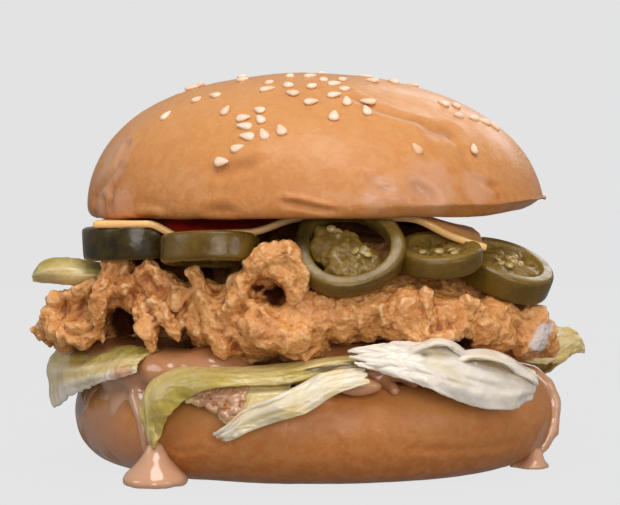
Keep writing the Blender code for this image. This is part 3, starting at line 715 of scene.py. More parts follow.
def makeSeedMaterial():
    material, tree, shader = newMaterial("sesameSeed", {
        "Roughness": 0.42, "Specular IOR Level": 0.45, "Subsurface Weight": 0.25,
        "Subsurface Radius": (0.0012, 0.0009, 0.0006),
    })
    at = places(tree)
    patches = useGroup(tree, blotches, at, 500.0, 0.2)
    colour = mixColour(tree, patches, (0.88, 0.72, 0.58), (0.84, 0.62, 0.46))
    colour = layered(tree, colour, (attribute(tree, "toast"), (0.74, 0.43, 0.25)))
    feed(tree, shader.inputs["Base Color"], colour)
    addBump(tree, shader, useGroup(tree, grain, at, 2500.0), 0.05, 0.6)
    return material


def makeSeeds():
    mesh = bmesh.new()
    toast, = addLayers(mesh, "toast")
    draw = random.Random(4)
    length, width, thickness = seeds["length"], seeds["width"], seeds["thickness"]
    rocking = seeds["rocking"]
    for x, y, turn in seedPlaces():
        up = crownNormal(x, y)
        lean = up.to_track_quat("Z", "Y").to_matrix().to_4x4()
        place = Vector((x, y, crownHeight(x, y))) + up * thickness * (0.5 - seeds["sunk"])
        long = length / 2 * draw.uniform(0.92, 1.08)
        size = Matrix.Diagonal((long, width / 2 * draw.uniform(0.9, 1.1), thickness / 2, 1))
        rock = Matrix.Rotation(draw.uniform(-rocking, rocking), 4, "Y")
        matrix = Matrix.Translation(place) @ lean @ Matrix.Rotation(turn, 4, "Z") @ rock @ size
        tone = draw.uniform(0, 0.45)
        addSeed(mesh, matrix, 1.0 if (x, y) == seeds["toasted"] else tone, toast)
    finishPiece("sesameSeeds", mesh, [makeSeedMaterial()])


makeSeeds()
print("sesame seeds are on")


# Cheese

cheese = {
    "side": 84.0, "thickness": 1.6, "middle": (-5.7, 3.0), "top": 56.7, "cells": 84,
    "rounding": 0.55, "clearance": 0.3,
    "wander": (13, 0.008), "ripple": (7, 0.18),  # size and height, at the edges only
}


def cheeseHeight(x, y):
    front = smooth(-y, 18, 39)
    radius = math.hypot(x, y)
    sag = 1.45 * smooth(radius, 42, 48)  # the rim all round
    sag += 3.2 * smooth(x, -36, -27) * smooth(-x, 3, 15) * front  # the front edge's left half
    sag += (3.6 + 1.4 * smooth(-y, 0, 40)) * smooth(x, 20, 38)  # the right edge
    sag += 0.75 * max(0.0, radius - 49) * smooth(y, 5, 25) * smooth(10 - x, 0, 20)  # back left
    return cheese["top"] - sag


# The highest a filling may reach at (x, y) and stay under the cheese and the bun
def roofAt(x, y):
    reach = cheese["side"] / 2 + cheese["clearance"]
    middleX, middleY = cheese["middle"]
    if abs(x - middleX) < reach and abs(y - middleY) < reach:
        return cheeseHeight(x, y) - cheese["thickness"] - 0.15
    if math.hypot(x, y) < topBun["radius"] - 1:
        return topBun["floor"] - 0.2
    return 99.0


def makeCheeseMaterial():
    material, tree, shader = newMaterial("softCheese", {
        "Specular IOR Level": 0.5, "Subsurface Weight": 0.35,
        "Subsurface Radius": (0.004, 0.002, 0.0008),
    })
    at = places(tree)
    patches = useGroup(tree, blotches, at, 130.0, 0.2)
    colour = layered(
        tree, mixColour(tree, patches, (0.84, 0.47, 0.165), (0.78, 0.42, 0.150)),
        # painted shade behind the front edge, then a dark red tone in the left gap
        (attribute(tree, "shaded"), (0.10, 0.020, 0.010)),
        (attribute(tree, "reddened"), (0.50, 0.024, 0.013)),
    )
    feed(tree, shader.inputs["Base Color"], colour)
    feed(tree, shader.inputs["Roughness"], useGroup(tree, wetness, at, 180.0, 0.25, 0.48))
    addBump(tree, shader, noiseAt(tree, at, 5, 3.0), 0.25, 0.5)
    return material


def addThickness(piece, thickness, offset):
    skin = piece.modifiers.new("thickness", "SOLIDIFY")
    skin.thickness = thickness * mm
    skin.offset = offset


def makeCheese():
    half = cheese["side"] / 2
    mesh = bmesh.new()
    bmesh.ops.create_grid(mesh, x_segments=cheese["cells"], y_segments=cheese["cells"], size=half)
    shaded, reddened = addLayers(mesh, "shaded", "reddened")
    (wanderSize, wander), (rippleSize, ripple) = cheese["wander"], cheese["ripple"]
    middleX, middleY = cheese["middle"]
    for vertex in mesh.verts:
        x, y, _ = vertex.co
        edge = max(abs(x), abs(y)) / half
        shift = noise.noise(Vector((x / wanderSize, y / wanderSize, 3)))
        shrink = 1 - wander * shift * smooth(edge, 0.8, 1.0)
        x = x * shrink + middleX
        y = y * shrink + middleY
        lift = noise.noise(Vector((x / rippleSize, y / rippleSize, 8))) * smooth(edge, 0.75, 1.0)
        vertex.co = (x, y, cheeseHeight(x, y) + ripple * lift)
        # behind the front edge the light is cut off, so shade is painted there, and a dark red tone
        # lies in the left gap
        under = smooth(y, -38.6, -37.4)
        gap = smooth(x, -35, -30) * smooth(-x, 2, 6) * smooth(-y, 10, 16)
        vertex[reddened] = 0.95 * under * gap
        vertex[shaded] = 0.9 * under * smooth(20 - x, 0, 6) * smooth(x, -40, -34)
    piece = finishPiece("cheeseSlice", mesh, [makeCheeseMaterial()], ["cheese_slice"])
    addThickness(piece, cheese["thickness"], -1)
    rounding = piece.modifiers.new("rounding", "BEVEL")
    rounding.width = cheese["rounding"] * mm
    rounding.segments = 3
    rounding.limit_method = "ANGLE"
    rounding.angle_limit = math.radians(50)


makeCheese()
print("cheese is laid")


# Pepper slices

peppers = {
    # middle, radius, thickness, tilt, azimuth it leans to (from +X), kind
    "pepper_slice_a": ((-39.2, -28, 50.6), 11.6, 7.4, 3, 180, "cup"),
    "pepper_slice_b": ((-22.2, -41.4, 49.2), 10.2, 6.2, -8, -90, "cup"),
    "pepper_slice_c": ((6.6, -45.6, 49.6), 11.4, 5.0, 56, -90, "open"),
    "pepper_slice_d": ((25.6, -40.5, 48.0), 9.0, 4.8, 20, -90, "cup"),
    "pepper_slice_e": ((40.8, -28, 44.4), 11.0, 6.0, 27, -50, "cup"),
    "pepper_slice_g": ((-28, 27, 50.6), 11.0, 5.6, 8, 120, "cup"),
    "pepper_slice_h": ((2, 38, 50.2), 10.4, 5.4, 12, 90, "cup"),
    "pepper_slice_i": ((26, 30, 48.8), 10.6, 5.2, 14, 30, "cup"),
    "pepper_slice_j": ((36.5, 5, 46.6), 10.0, 5.2, 18, 0, "cup"),
}
pepperFlesh = {
    "wall": 3.3, "hollow": 1.0, "turns": 96, "relief": 0.55, "chamber": 0.8,
    "seedCount": 7, "seed": (1.1, 0.85, 0.40),
    "pulpTurn": -38,  # how the open ring's flesh lies, in degrees
    # the slice whose skin is made nearly black
    "darkest": "pepper_slice_a",
}


def makePepperMaterial():
    material, tree, shader = newMaterial("pickledPepper", {
        "Specular IOR Level": 0.32, "Subsurface Weight": 0.35,
        "Subsurface Radius": (0.003, 0.0022, 0.0006), "Coat Weight": 0.09, "Coat Roughness": 0.10,
    })
    at = places(tree)
    patches = useGroup(tree, blotches, at, 160.0, 0.18)
    fine = useGroup(tree, blotches, at, 600.0, 0.15)
    flesh = mixColour(tree, patches, (0.165, 0.098, 0.014), (0.225, 0.148, 0.034))
    inner = mixColour(tree, fine, (0.15, 0.088, 0.012), (0.25, 0.16, 0.040))
    outer = mixColour(tree, patches, (0.095, 0.050, 0.005), (0.150, 0.085, 0.011))
    murky = mixColour(tree, patches, (0.010, 0.008, 0.004), (0.060, 0.038, 0.006))
    pulp, skin, dark = (attribute(tree, name) for name in ("pulp", "skin", "dark"))
    # the darkest tone: slice a's skin, and painted shade over the open ring's left part
    colour = layered(tree, flesh, (pulp, inner), (skin, outer), (dark, murky))
    feed(tree, shader.inputs["Base Color"], colour)
    feed(tree, shader.inputs["Roughness"], useGroup(tree, wetness, at, 260.0, 0.17, 0.42))
    addBump(tree, shader, noiseAt(tree, at, 1.6, 5.0), 0.22, 0.6)
    return material


def makePepperSeedMaterial():
    material, tree, shader = newMaterial("pepperSeed", {
        "Roughness": 0.25, "Subsurface Weight": 0.3, "Subsurface Radius": (0.001, 0.0008, 0.0004),
        "Coat Weight": 0.3, "Coat Roughness": 0.1,
    })
    at = places(tree)
    patches = useGroup(tree, blotches, at, 900.0, 0.2)
    colour = mixColour(tree, patches, (0.36, 0.24, 0.075), (0.46, 0.33, 0.13))
    feed(tree, shader.inputs["Base Color"], colour)
    addBump(tree, shader, noiseAt(tree, at, 0.6, 3.0), 0.06, 0.6)
    return material


pepperMaterial = makePepperMaterial()
pepperSeedMaterial = makePepperSeedMaterial()


def pepperOutline(radius, half, kind):
    inner = radius - pepperFlesh["wall"]
    floor = half - pepperFlesh["hollow"]
    rim = [(inner + 0.25, half - 0.5), (inner + 0.7, half - 0.05), (radius - 1.3, half),
           (radius - 0.45, half - 0.3), (radius, half - 1.2)]
    under = [(r, -z) for r, z in reversed(rim)]
    if kind == "open":
        corners = [(inner, 0), *rim, *under]
        steps = 5 * len(corners)
        loop = corners + [corners[0]]
        return [tuple(onLine(loop, step / steps)) for step in range(steps)]
    bowl = [(inner * 0.3, floor), (inner * 0.6, floor), (inner - 0.4, floor + 0.1)]
    corners = [*bowl, *rim, *under, *[(r, -z) for r, z in reversed(bowl)]]
    steps = 5 * len(corners)
    middle = [tuple(onLine(corners, step / steps)) for step in range(steps + 1)]
    core = [(inner * 0.1 * ring, floor) for ring in range(3)]
    return core + middle + [(r, -z) for r, z in reversed(core)]


def makePepperSlice(node, middle, radius, thickness, tilt, toward, kind, draw):
    half = thickness / 2
    inner = radius - pepperFlesh["wall"]
    outline = pepperOutline(radius, half, kind)
    mesh = turnOutline(outline, pepperFlesh["turns"], closed=kind == "open")
    skin, pulp, dark = addLayers(mesh, "skin", "pulp", "dark")
    shift = Vector(middle)
    for vertex in mesh.verts:
        x, y, z = vertex.co
        reach = math.hypot(x, y)
        turn = math.atan2(y, x)
        vertex[skin] = smooth(reach, radius - 0.9, radius - 0.3)
        vertex[pulp] = 1 - smooth(reach, inner - 0.3, inner + 0.6)
        # bumpy flesh that sinks in three chambers
        chamber = 0.5 + 0.5 * math.cos(3 * turn + middle[0])
        bumps = noise.noise(vertex.co / 1.7 + shift) + 0.6 * noise.noise(vertex.co / 0.8 + shift)
        sink = (1 - smooth(reach, inner - 1.5, inner + 0.2)) * smooth(reach, 0.8, 2.5)
        depth = pepperFlesh["relief"] * bumps * (1 - smooth(reach, inner - 0.6, inner))
        depth -= pepperFlesh["chamber"] * chamber * sink
        vertex.co.z += depth if z > 0 else -depth
        # an outline that is not quite round
        lobed = 1 + 0.035 * math.cos(3 * turn + middle[0]) + 0.02 * math.cos(2 * turn)
        wave = 1 + 0.008 * noise.noise(Vector((x, y, z)) / 3 + shift) * smooth(reach, inner, radius)
        vertex.co.x *= lobed * wave
        vertex.co.y *= lobed * wave
        # slice a's skin is made nearly black; over the open ring's left part the same tone is
        # painted shade
        vertex[dark] = 0.95 * vertex[skin] if node == pepperFlesh["darkest"] else 0.0
        if kind == "open":
            vertex[dark] = 0.9 * smooth(-x, 4, 9) * smooth(y, -6, 2)
    if kind == "open":
        addPulp(mesh, inner, half, {skin: 0.0, pulp: 1.0, dark: 0.0})
    addPepperSeeds(mesh, inner, half, kind, draw)
    lean = math.radians(toward)
    axis = Vector((-math.sin(lean), math.cos(lean), 0))
    stand = Matrix.Translation(middle) @ Matrix.Rotation(math.radians(tilt), 4, axis)
    bmesh.ops.transform(mesh, matrix=stand, verts=mesh.verts)
    for vertex in mesh.verts:
        vertex.co.z = min(vertex.co.z, roofAt(vertex.co.x, vertex.co.y))
    name = "pepperSlice" + node[-1].upper()
    finishPiece(name, mesh, [pepperMaterial, pepperSeedMaterial], [node])


# The flesh across the open ring, with one hole at its upper right and one at its lower left
def addPulp(mesh, inner, half, marks):
    work = bmesh.new()
    turn = Matrix.Rotation(math.radians(pepperFlesh["pulpTurn"]), 4, "Z")
    for x, y, length, width in ((0, -0.4, inner + 0.8, 3.6), (-1.2, -2.6, 6.0, 4.4),
                                (2.0, -4.2, 4.6, 3.6)):
        size = Matrix.Diagonal((length, width, half * 0.8, 1))
        matrix = turn @ Matrix.Translation((x, y, 0)) @ size
        bmesh.ops.create_icosphere(work, subdivisions=4, radius=1, matrix=matrix)
    work = joined(work, 0.35)
    pushOut(work, lambda place: 0.8 * noise.noise(place / 2.4) + 0.3 * noise.noise(place / 0.9))
    known = set(mesh.verts)
    addShape(mesh, work)
    for vertex in set(mesh.verts) - known:
        for layer, value in marks.items():
            vertex[layer] = value


def addPepperSeeds(mesh, inner, half, kind, draw):
    across = pepperFlesh["pulpTurn"]
    for _ in range(pepperFlesh["seedCount"]):
        turn = draw.uniform(0, 2 * math.pi)
        reach = inner * draw.uniform(0.25, 0.75)
        side = 1 if kind == "open" or draw.random() < 0.8 else -1
        high = half * 0.72 if kind == "open" else half - pepperFlesh["hollow"] + 0.15
        if kind == "open":
            turn = math.radians(draw.choice((across, across + 180)) + draw.uniform(-16, 16))
        tilt = Matrix.Rotation(draw.uniform(-0.5, 0.5), 4, "X")
        spin = Matrix.Rotation(draw.uniform(0, math.pi), 4, "Z")
        size = Matrix.Diagonal((*pepperFlesh["seed"], 1))
        place = Matrix.Translation((reach * math.cos(turn), reach * math.sin(turn), side * high))
        made = bmesh.ops.create_uvsphere(mesh, u_segments=14, v_segments=8, radius=1,
                                         matrix=place @ spin @ tilt @ size)["verts"]
        for face in {face for vertex in made for face in vertex.link_faces}:
            face.material_index = 1


def makePeppers():
    draw = random.Random(21)
    for node, sizes in peppers.items():
        makePepperSlice(node, *sizes, draw)


makePeppers()
print("pepper slices are in")


# Fried chicken

chicken = {
    "voxel": 0.45,
    "lumps": (5.6, 1.15),  # size and height of the crust's relief, from coarse to fine
    "knobs": (3.4, 0.65),
    "crumbs": (1.3, 0.34),
    "flakes": (0.8, 0.20),
    "warp": 1.9, "folds": 1.5,
    "contrast": 1.15,  # how fast the tone changes from the painted shade of hollows to the painted light of peaks
    # how much of that relief each front piece gets; the left one is the roughest
    "roughness": {"chicken_left": 1.0, "chicken_middle": 0.82, "chicken_right": 0.85},
    # hollows, cut in from the front and given painted shade: middle (x, z), half width, half height
    # and depth
    "hollows": [
        ((-42.4, 32.0), 3.5, 4.2, 4.5), ((-9.0, 39.8), 2.8, 2.1, 2.6),
        ((-12.4, 41.4), 1.5, 1.0, 1.6), ((31.0, 29.4), 2.4, 1.9, 1.8),
    ],
    # darker fried patches: middle and width
    "browned": [
        ((-50, -28, 29), 6.0), ((-46, -31, 35), 3.5), ((-36, -36, 43), 4.2), ((-33, -38, 41), 3.6),
        ((-44, -33, 42), 2.8), ((-10, -51, 33), 3.6), ((47, -30, 26), 3.5), ((22, -47, 38), 3.0),
    ],
    # extra limbs on each piece: lines of (x, y, z, radius)
    "limbs": {
        "chicken_left": [
            [(-47.6, -33.4, 33.0, 1.9), (-46.6, -34.6, 38.0, 2.3), (-45.0, -34.2, 43.5, 2.3),
             (-44.4, -33.0, 47.8, 1.5)],
            [(-44.0, -32.6, 46.4, 1.8), (-41.4, -33.4, 44.6, 1.7)],
            [(-41.6, -34.4, 40.6, 2.2), (-38.6, -35.6, 42.4, 2.0), (-36.6, -36.0, 44.8, 2.4),
             (-33.6, -37.0, 44.2, 2.0)],
            [(-33.4, -38.0, 43.0, 2.2), (-30.2, -38.6, 41.2, 2.2), (-27.2, -41.0, 39.6, 2.0)],
            [(-29.4, -41.8, 38.6, 2.2), (-26.8, -42.6, 40.4, 1.5)],
            [(-34.2, -40.6, 38.0, 1.4), (-32.6, -41.8, 35.6, 1.8), (-30.6, -42.4, 32.4, 1.5),
             (-29.4, -42.4, 29.6, 0.8)],
            [(-37.6, -38.2, 35.8, 2.2), (-35.8, -40.0, 32.2, 3.0), (-34.8, -40.4, 28.6, 1.6)],
            [(-58.6, -24.4, 34.6, 2.2), (-56.4, -27.0, 31.0, 3.0), (-52.6, -30.0, 30.2, 3.6),
             (-48.6, -31.6, 31.4, 2.2)],
            [(-57.0, -25.0, 37.4, 1.8), (-53.4, -27.6, 38.4, 2.2), (-50.4, -29.4, 40.4, 2.0),
             (-48.2, -30.4, 42.0, 1.6)],
        ],
        "chicken_middle": [
            [(-12.8, -49.4, 46.2, 2.3), (-10.2, -50.0, 48.4, 2.5), (-6.0, -50.2, 49.0, 2.6),
             (-3.8, -50.0, 45.8, 2.6), (-3.2, -49.8, 42.4, 2.3), (-5.6, -50.0, 39.8, 1.8)],
            [(-12.2, -49.4, 45.0, 2.0), (-15.4, -49.4, 42.2, 2.3), (-16.8, -49.2, 39.0, 2.2),
             (-19.8, -48.2, 36.2, 1.5)],
            [(-8.6, -49.6, 44.8, 2.6), (-6.4, -50.4, 43.0, 2.0)],
            [(-11.6, -51.2, 37.4, 0.7), (-10.2, -51.8, 35.4, 1.4), (-8.0, -51.6, 32.6, 1.7)],
            [(-14.0, -50.0, 34.0, 2.4), (-9.0, -51.2, 31.0, 3.2), (-3.0, -51.0, 31.6, 3.0)],
            [(-26.0, -43.0, 44.0, 1.8), (-23.4, -44.4, 39.4, 2.4), (-21.6, -45.4, 33.4, 2.6),
             (-18.8, -47.0, 28.6, 2.2)],
            [(-13.6, -49.6, 38.0, 1.2), (-12.8, -50.2, 36.2, 1.5)],
            [(-23.0, -39.5, 37.0, 5.6), (-17.0, -43.6, 34.0, 6.2), (-9.0, -45.4, 33.2, 6.2),
             (-3.0, -45.6, 33.0, 5.6)],
        ],
        "chicken_right": [
            [(22.6, -47.4, 42.0, 0.8), (22.9, -48.2, 39.8, 1.3), (23.6, -48.8, 36.4, 1.9),
             (25.4, -48.6, 34.6, 1.2)],
            [(19.6, -47.6, 32.0, 2.0), (22.6, -48.6, 31.0, 2.2), (27.4, -47.8, 31.2, 2.0),
             (30.4, -45.6, 33.0, 1.8)],
            [(-2.0, -45.0, 35.6, 5.6), (6.0, -45.2, 35.6, 6.0), (14.0, -44.8, 36.0, 6.0),
             (22.0, -44.2, 35.2, 6.0), (30.0, -41.0, 34.4, 5.4), (38.0, -36.4, 31.6, 5.2)],
            [(31.4, -44.8, 38.4, 1.8), (34.4, -43.0, 36.4, 2.0), (35.2, -42.4, 33.6, 1.8)],
            [(-12.0, -20.0, 50.0, 5.0), (4.0, -22.0, 51.5, 5.4), (18.0, -20.0, 50.0, 5.0),
             (29.0, -17.0, 44.0, 4.0)],
        ],
    },
    # the cut end that shows white meat: corners (x, z) as the photo's side sees it
    "meat": [(45.4, 28.0), (48.2, 33.0), (51.6, 33.2), (48.9, 25.9)],
}


# How far the fried crust stands out at a place, before its piece's roughness
def crustRelief(place):
    bent = place + chicken["warp"] * noise.noise_vector(place / 4.5)
    lumpSize, lumpHeight = chicken["lumps"]
    knobSize, knobHeight = chicken["knobs"]
    crumbSize, crumbHeight = chicken["crumbs"]
    flakeSize, flakeHeight = chicken["flakes"]
    lumps = noise.fractal(bent / lumpSize + Vector((2, 9, 4)), 0.7, 2.1, 4)
    knobs = 0.42 - noise.voronoi(bent / knobSize)[0][0]
    crumb = 0.42 - noise.voronoi(bent / crumbSize + Vector((7, 3, 5)))[0][0]
    flakes = noise.noise(bent / flakeSize)
    # long soft folds across the piece, as where batter has run together
    folds = abs(noise.noise(Vector((bent.x / 3.2, bent.y / 6, bent.z / 8)))) - 0.2
    rough = 0.4 + smooth(noise.noise(place / 9 + Vector((4, 4, 1))), -0.35, 0.3)
    total = lumps * lumpHeight - chicken["folds"] * folds
    return total + rough * (knobs * knobHeight + crumb * crumbHeight) + flakes * flakeHeight


# Sets the layer from how hollow (towards 0) or proud (towards 1) each place of the mesh is; the
# crust material paints shade into hollows and light onto peaks from it
def markRelief(mesh, layer):
    mesh.normal_update()
    kept = [(vertex.co.copy(), vertex.normal.copy()) for vertex in mesh.verts]
    smoothOut(mesh, 9)
    for vertex, (place, normal) in zip(mesh.verts, kept):
        hollow = (vertex.co - place).dot(normal)
        vertex[layer] = min(1.0, max(0.0, 0.5 - chicken["contrast"] * hollow))
        vertex.co = place


# How far into a hollow of the front a place is, 0 to 1, which sets its painted shade, and how deep
# that is cut
def hollowAt(place):
    inside, depth = 0.0, 0.0
    if place.y > -20:
        return inside, depth
    x = place.x + 0.8 * noise.noise(place / 2.0)
    z = place.z + 0.8 * noise.noise(place / 2.0 + Vector((5, 5, 5)))
    for (middleX, middleZ), halfWidth, halfHeight, cut in chicken["hollows"]:
        away = math.hypot((x - middleX) / halfWidth, (z - middleZ) / halfHeight)
        share = 1 - smooth(away, 0.25, 1.25)
        if share > inside:
            inside, depth = share, cut * share
    return inside, depth


# How far inside the cut end's outline (x, z) is; less than 0 outside it
def insideMeat(x, z):
    corners = chicken["meat"]
    within = 9.0
    for (ax, az), (bx, bz) in zip(corners, corners[1:] + corners[:1]):
        length = math.hypot(bx - ax, bz - az)
        within = min(within, ((z - az) * (bx - ax) - (x - ax) * (bz - az)) / -length)
    return within


def makeCrustMaterial():
    material, tree, shader = newMaterial("friedCrust", {
        "Subsurface Weight": 0.12, "Subsurface Radius": (0.003, 0.0014, 0.0006),
        "Coat Roughness": 0.25,
    })
    at = places(tree)
    relief = attribute(tree, "relief")
    shaded = attribute(tree, "shaded")
    patches = useGroup(tree, blotches, at, 90.0, 0.14)
    fine = useGroup(tree, blotches, at, 480.0, 0.16)
    colour = layered(
        tree, mixColour(tree, patches, (0.67, 0.290, 0.076), (0.55, 0.195, 0.036)),
        (eased(tree, fine, 0.45), (0.73, 0.385, 0.140)),
        (mapRange(tree, relief, 0.56, 0.95, 0.0, 0.6), (0.84, 0.54, 0.28)),  # peaks get painted light
        (mapRange(tree, relief, 0.46, 0.10, 0.0, 0.9), (0.28, 0.072, 0.012)),  # pits get painted shade
        (attribute(tree, "browned"), (0.42, 0.125, 0.026)),
        (attribute(tree, "meat"), (0.60, 0.50, 0.46)),
        # painted shade in the hollows and deep inside the stack
        (shaded, (0.055, 0.010, 0.004)),
    )
    feed(tree, shader.inputs["Base Color"], colour)
    # shaded hollows are dull
    oil = useGroup(tree, wetness, at, 300.0, 0.34, 0.62)
    feed(tree, shader.inputs["Roughness"], mixValue(tree, shaded, oil, 0.9))
    for label, shine, dull in (("Specular IOR Level", 0.5, 0.05), ("Coat Weight", 0.12, 0.0)):
        feed(tree, shader.inputs[label], mapRange(tree, shaded, 0.0, 0.6, shine, dull))
    grains = addBump(tree, shader, useGroup(tree, grain, at, 1300.0), 0.36, 0.9)
    addBump(tree, shader, noiseAt(tree, at, 0.5, 3.0), 0.10, 0.6, grains)
    return material


crustMaterial = makeCrustMaterial()


def makeChicken(node):
    mesh = solidOf(node)
    for limb in chicken["limbs"].get(node, []):
        addLimb(mesh, limb, 10)
    mesh = joined(mesh, chicken["voxel"])
    smoothOut(mesh, 3)
    relief, meat, shaded, brown = addLayers(mesh, "relief", "meat", "shaded", "browned")
    roughness = chicken["roughness"].get(node, 1.0)
    mesh.normal_update()
    moves = []
    for vertex in mesh.verts:
        x, y, z = vertex.co
        cut = smooth(insideMeat(x, z), -0.3, 0.3) if y < 0 and x > 40 else 0.0
        inside, hollow = hollowAt(vertex.co)
        # painted shade deep inside the stack and in the front's hollows
        depth = smooth(-abs(y), -36, -27)
        deep = 0.9 * depth * smooth(z, 37, 46) * (1 - smooth(abs(x), 44, 50))
        vertex[meat] = cut
        vertex[shaded] = max(deep, 0.95 * smooth(inside, 0.05, 0.6))
        vertex[brown] = 0.6 * nearSpot(chicken["browned"], vertex.co, 0.3, 1.2)
        height = crustRelief(vertex.co) * roughness * (1 - 0.9 * cut)
        moves.append((vertex, vertex.normal * height + Vector((0, hollow, 0))))
    for vertex, move in moves:
        vertex.co += move
        vertex.co.z = min(vertex.co.z, roofAt(vertex.co.x, vertex.co.y))
    markRelief(mesh, relief)
    name = "".join(word.capitalize() for word in node.split("_"))
    finishPiece("fried" + name, mesh, [crustMaterial], [node])


for chickenNode in ("chicken_right", "chicken_middle", "chicken_left", "chicken_back_left",
                    "chicken_back_right"):
    makeChicken(chickenNode)
print("chicken is fried")


# Lettuce

leaves = {
    "lettuce_left_high": [
        ((-62.4, -20, 43.6), (-62.8, -20.4, 42.6), (-62.4, -20, 41.5)),
        ((-59, -22, 46.4), (-60, -24.5, 44), (-58, -23, 41.2)),
        ((-54, -22, 46.6), (-55, -26.5, 44.2), (-53, -25, 41)),
        ((-48, -20, 45.6), (-49, -26, 44), (-47.5, -26, 41.6)),
        ((-41, -17, 45), (-42, -22, 44), (-41, -24, 42.6)),
    ],
    "lettuce_left_low": [
        ((-50, 5, 24.4), (-57, 4, 22.8), (-59, 3, 16)),
        ((-54.5, -8, 26), (-60.4, -9, 22.8), (-60, -9, 13.6)),
        ((-52.5, -16, 26.4), (-59, -17, 22), (-57.5, -18, 13)),
        ((-46, -24, 27), (-53, -27.5, 22.8), (-52.5, -27.5, 17)),
        ((-41, -31, 28), (-46.5, -35.6, 24), (-46.5, -36.4, 20.2)),
        ((-37, -35, 28.2), (-41.6, -40.6, 25.4), (-42, -41.6, 21.8)),
        ((-33.5, -38, 27.6), (-37, -43.4, 26), (-38, -44.4, 23.2)),
    ],
    "lettuce_curl": [
        ((11, -46, 27.6), (11, -49, 26.6), (10.6, -50.2, 25.2)),
        ((4, -47, 26.8), (4, -50.5, 26.2), (3.6, -52, 24.4)),
        ((-2, -47.5, 26), (-2, -52, 25.2), (-1.8, -54, 23)),
        ((-8, -48, 25.4), (-8, -53, 24.2), (-7.6, -55.2, 21.8)),
        ((-15.5, -48, 24.8), (-15.8, -53.4, 23.6), (-16, -55.6, 21.6)),
        ((-22, -47, 24.6), (-22.3, -52.5, 23.5), (-21.4, -54.8, 21)),
        ((-28.5, -45, 24.4), (-29, -50, 22.4), (-26.5, -52.4, 18.8)),
        ((-34, -43.6, 22.4), (-33.6, -48.4, 19.4), (-29.6, -50.8, 15.6)),
        ((-36.6, -45, 16.6), (-35, -47.6, 14.8), (-32, -49.4, 12.2)),
        ((-36.3, -46, 12), (-34.8, -47.6, 10.8), (-33.2, -48.6, 9.2)),
        ((-34.8, -46.9, 8.6), (-34.2, -47.2, 8.1), (-33.6, -47.6, 7.6)),
    ],
    "lettuce_strip": [
        ((10, -52.4, 25), (10.6, -54.4, 24), (11.2, -55.8, 22.4)),
        ((2, -54.2, 24.6), (2.8, -56.6, 22.4), (3.4, -57.6, 19.8)),
        ((-3, -55.8, 22.2), (-2.6, -57.8, 19.4), (-2, -57.8, 16.4)),
        ((-9, -57, 19.4), (-8.6, -57.8, 17.4), (-7.6, -57.4, 14.8)),
        ((-15, -56.4, 17), (-14.4, -56.8, 15), (-13.2, -56.6, 12.8)),
        ((-18.2, -55.5, 14), (-17.6, -55.8, 12.5), (-16.8, -55.8, 11)),
        ((-21.6, -54.2, 11.6), (-20.6, -54.5, 11), (-19.4, -54.8, 10.3)),
    ],
    "lettuce_blade": [
        ((6, -51.6, 28.6), (6.3, -53, 27.4), (7, -54, 26.2)),
        ((12, -51, 30), (12.4, -54, 27.2), (12.8, -55, 24.4)),
        ((18.5, -50, 30.4), (19, -54, 26.6), (20, -55.2, 22.2)),
        ((25.5, -48, 29.8), (26.5, -53, 25), (27.2, -53, 19)),
        ((33, -45, 27.6), (34.2, -50, 22.8), (35, -49, 16.3)),
        ((39.4, -41, 25.4), (40.8, -45.2, 21.3), (41.6, -43.4, 15.7)),
        ((44.2, -37.6, 23.6), (46.4, -38.8, 20.4), (45.8, -38.4, 17.2)),
    ],
    "lettuce_sheet": [
        ((-27.4, -46, 22.9), (-27.4, -49, 21.6), (-27, -50.4, 17.6)),
        ((-22, -48, 23), (-22, -51.8, 21), (-22, -52.6, 16)),
        ((-17, -48.6, 23), (-17.2, -53.6, 20), (-17.6, -54.4, 13.4)),
        ((-11, -49.2, 23), (-11.2, -54.6, 20), (-12, -55.4, 14.6)),
        ((-5, -50, 22.8), (-5, -55, 20.4), (-5.4, -56, 17)),
    ],
    "lettuce_right_tip": [
        ((43, -14, 27.6), (44, -16, 25.6), (44, -17, 23.4)),
        ((50, -12, 30), (51.5, -14, 26), (51, -15, 22.4)),
        ((55, -9, 31), (56.6, -10, 27), (55.2, -11.5, 22.6)),
        ((59.4, -6, 29), (60.4, -6.6, 27), (59.2, -8, 24.2)),
        ((61.2, -4, 25.8), (61.4, -4.3, 25), (61, -5, 24.2)),
    ],
}
# Leaves behind: first and last azimuth (0 at the front), and how far they hang
rearLeaves = {
    "lettuce_rear_right": (100, 142, 6.0),
    "lettuce_rear": (154, 200, 8.5),
    "lettuce_rear_left": (212, 262, 5.5),
}
# How each leaf is finished: paleness at its upper and lower edge, ragged edge, torn first and
# last end, ruffle, and how strongly its veins and its long pleats show
leafFinish = {
    "lettuce_left_high": (0.20, 0.50, 0.06, 0.04, 0.04, 0.5, 0.5, 0.3),
    "lettuce_left_low": (0.00, 0.95, 0.08, 0.03, 0.02, 0.8, 0.6, 0.4),
    "lettuce_curl": (0.45, 0.00, 0.04, 0.02, 0.03, 0.5, 0.5, 0.15),
    "lettuce_strip": (0.78, 0.70, 0.04, 0.03, 0.05, 0.45, 0.5, 0.2),
    "lettuce_blade": (0.94, 1.00, 0.04, 0.11, 0.00, 0.75, 0.35, 0.45),
    "lettuce_sheet": (0.55, 0.45, 0.12, 0.03, 0.03, 0.6, 0.5, 0.4),
    "lettuce_right_tip": (0.70, 0.35, 0.12, 0.03, 0.05, 0.7, 0.7, 0.5),
    "lettuce_rear_right": (0.20, 0.60, 0.10, 0.04, 0.04, 0.9, 1.0, 0.5),
    "lettuce_rear": (0.15, 0.70, 0.10, 0.04, 0.04, 1.0, 1.0, 0.5),
    "lettuce_rear_left": (0.20, 0.75, 0.10, 0.04, 0.04, 0.9, 1.0, 0.5),
    "fold": (0.95, 0.90, 0.00, 0.00, 0.00, 0.15, 0.0, 0.1),
}
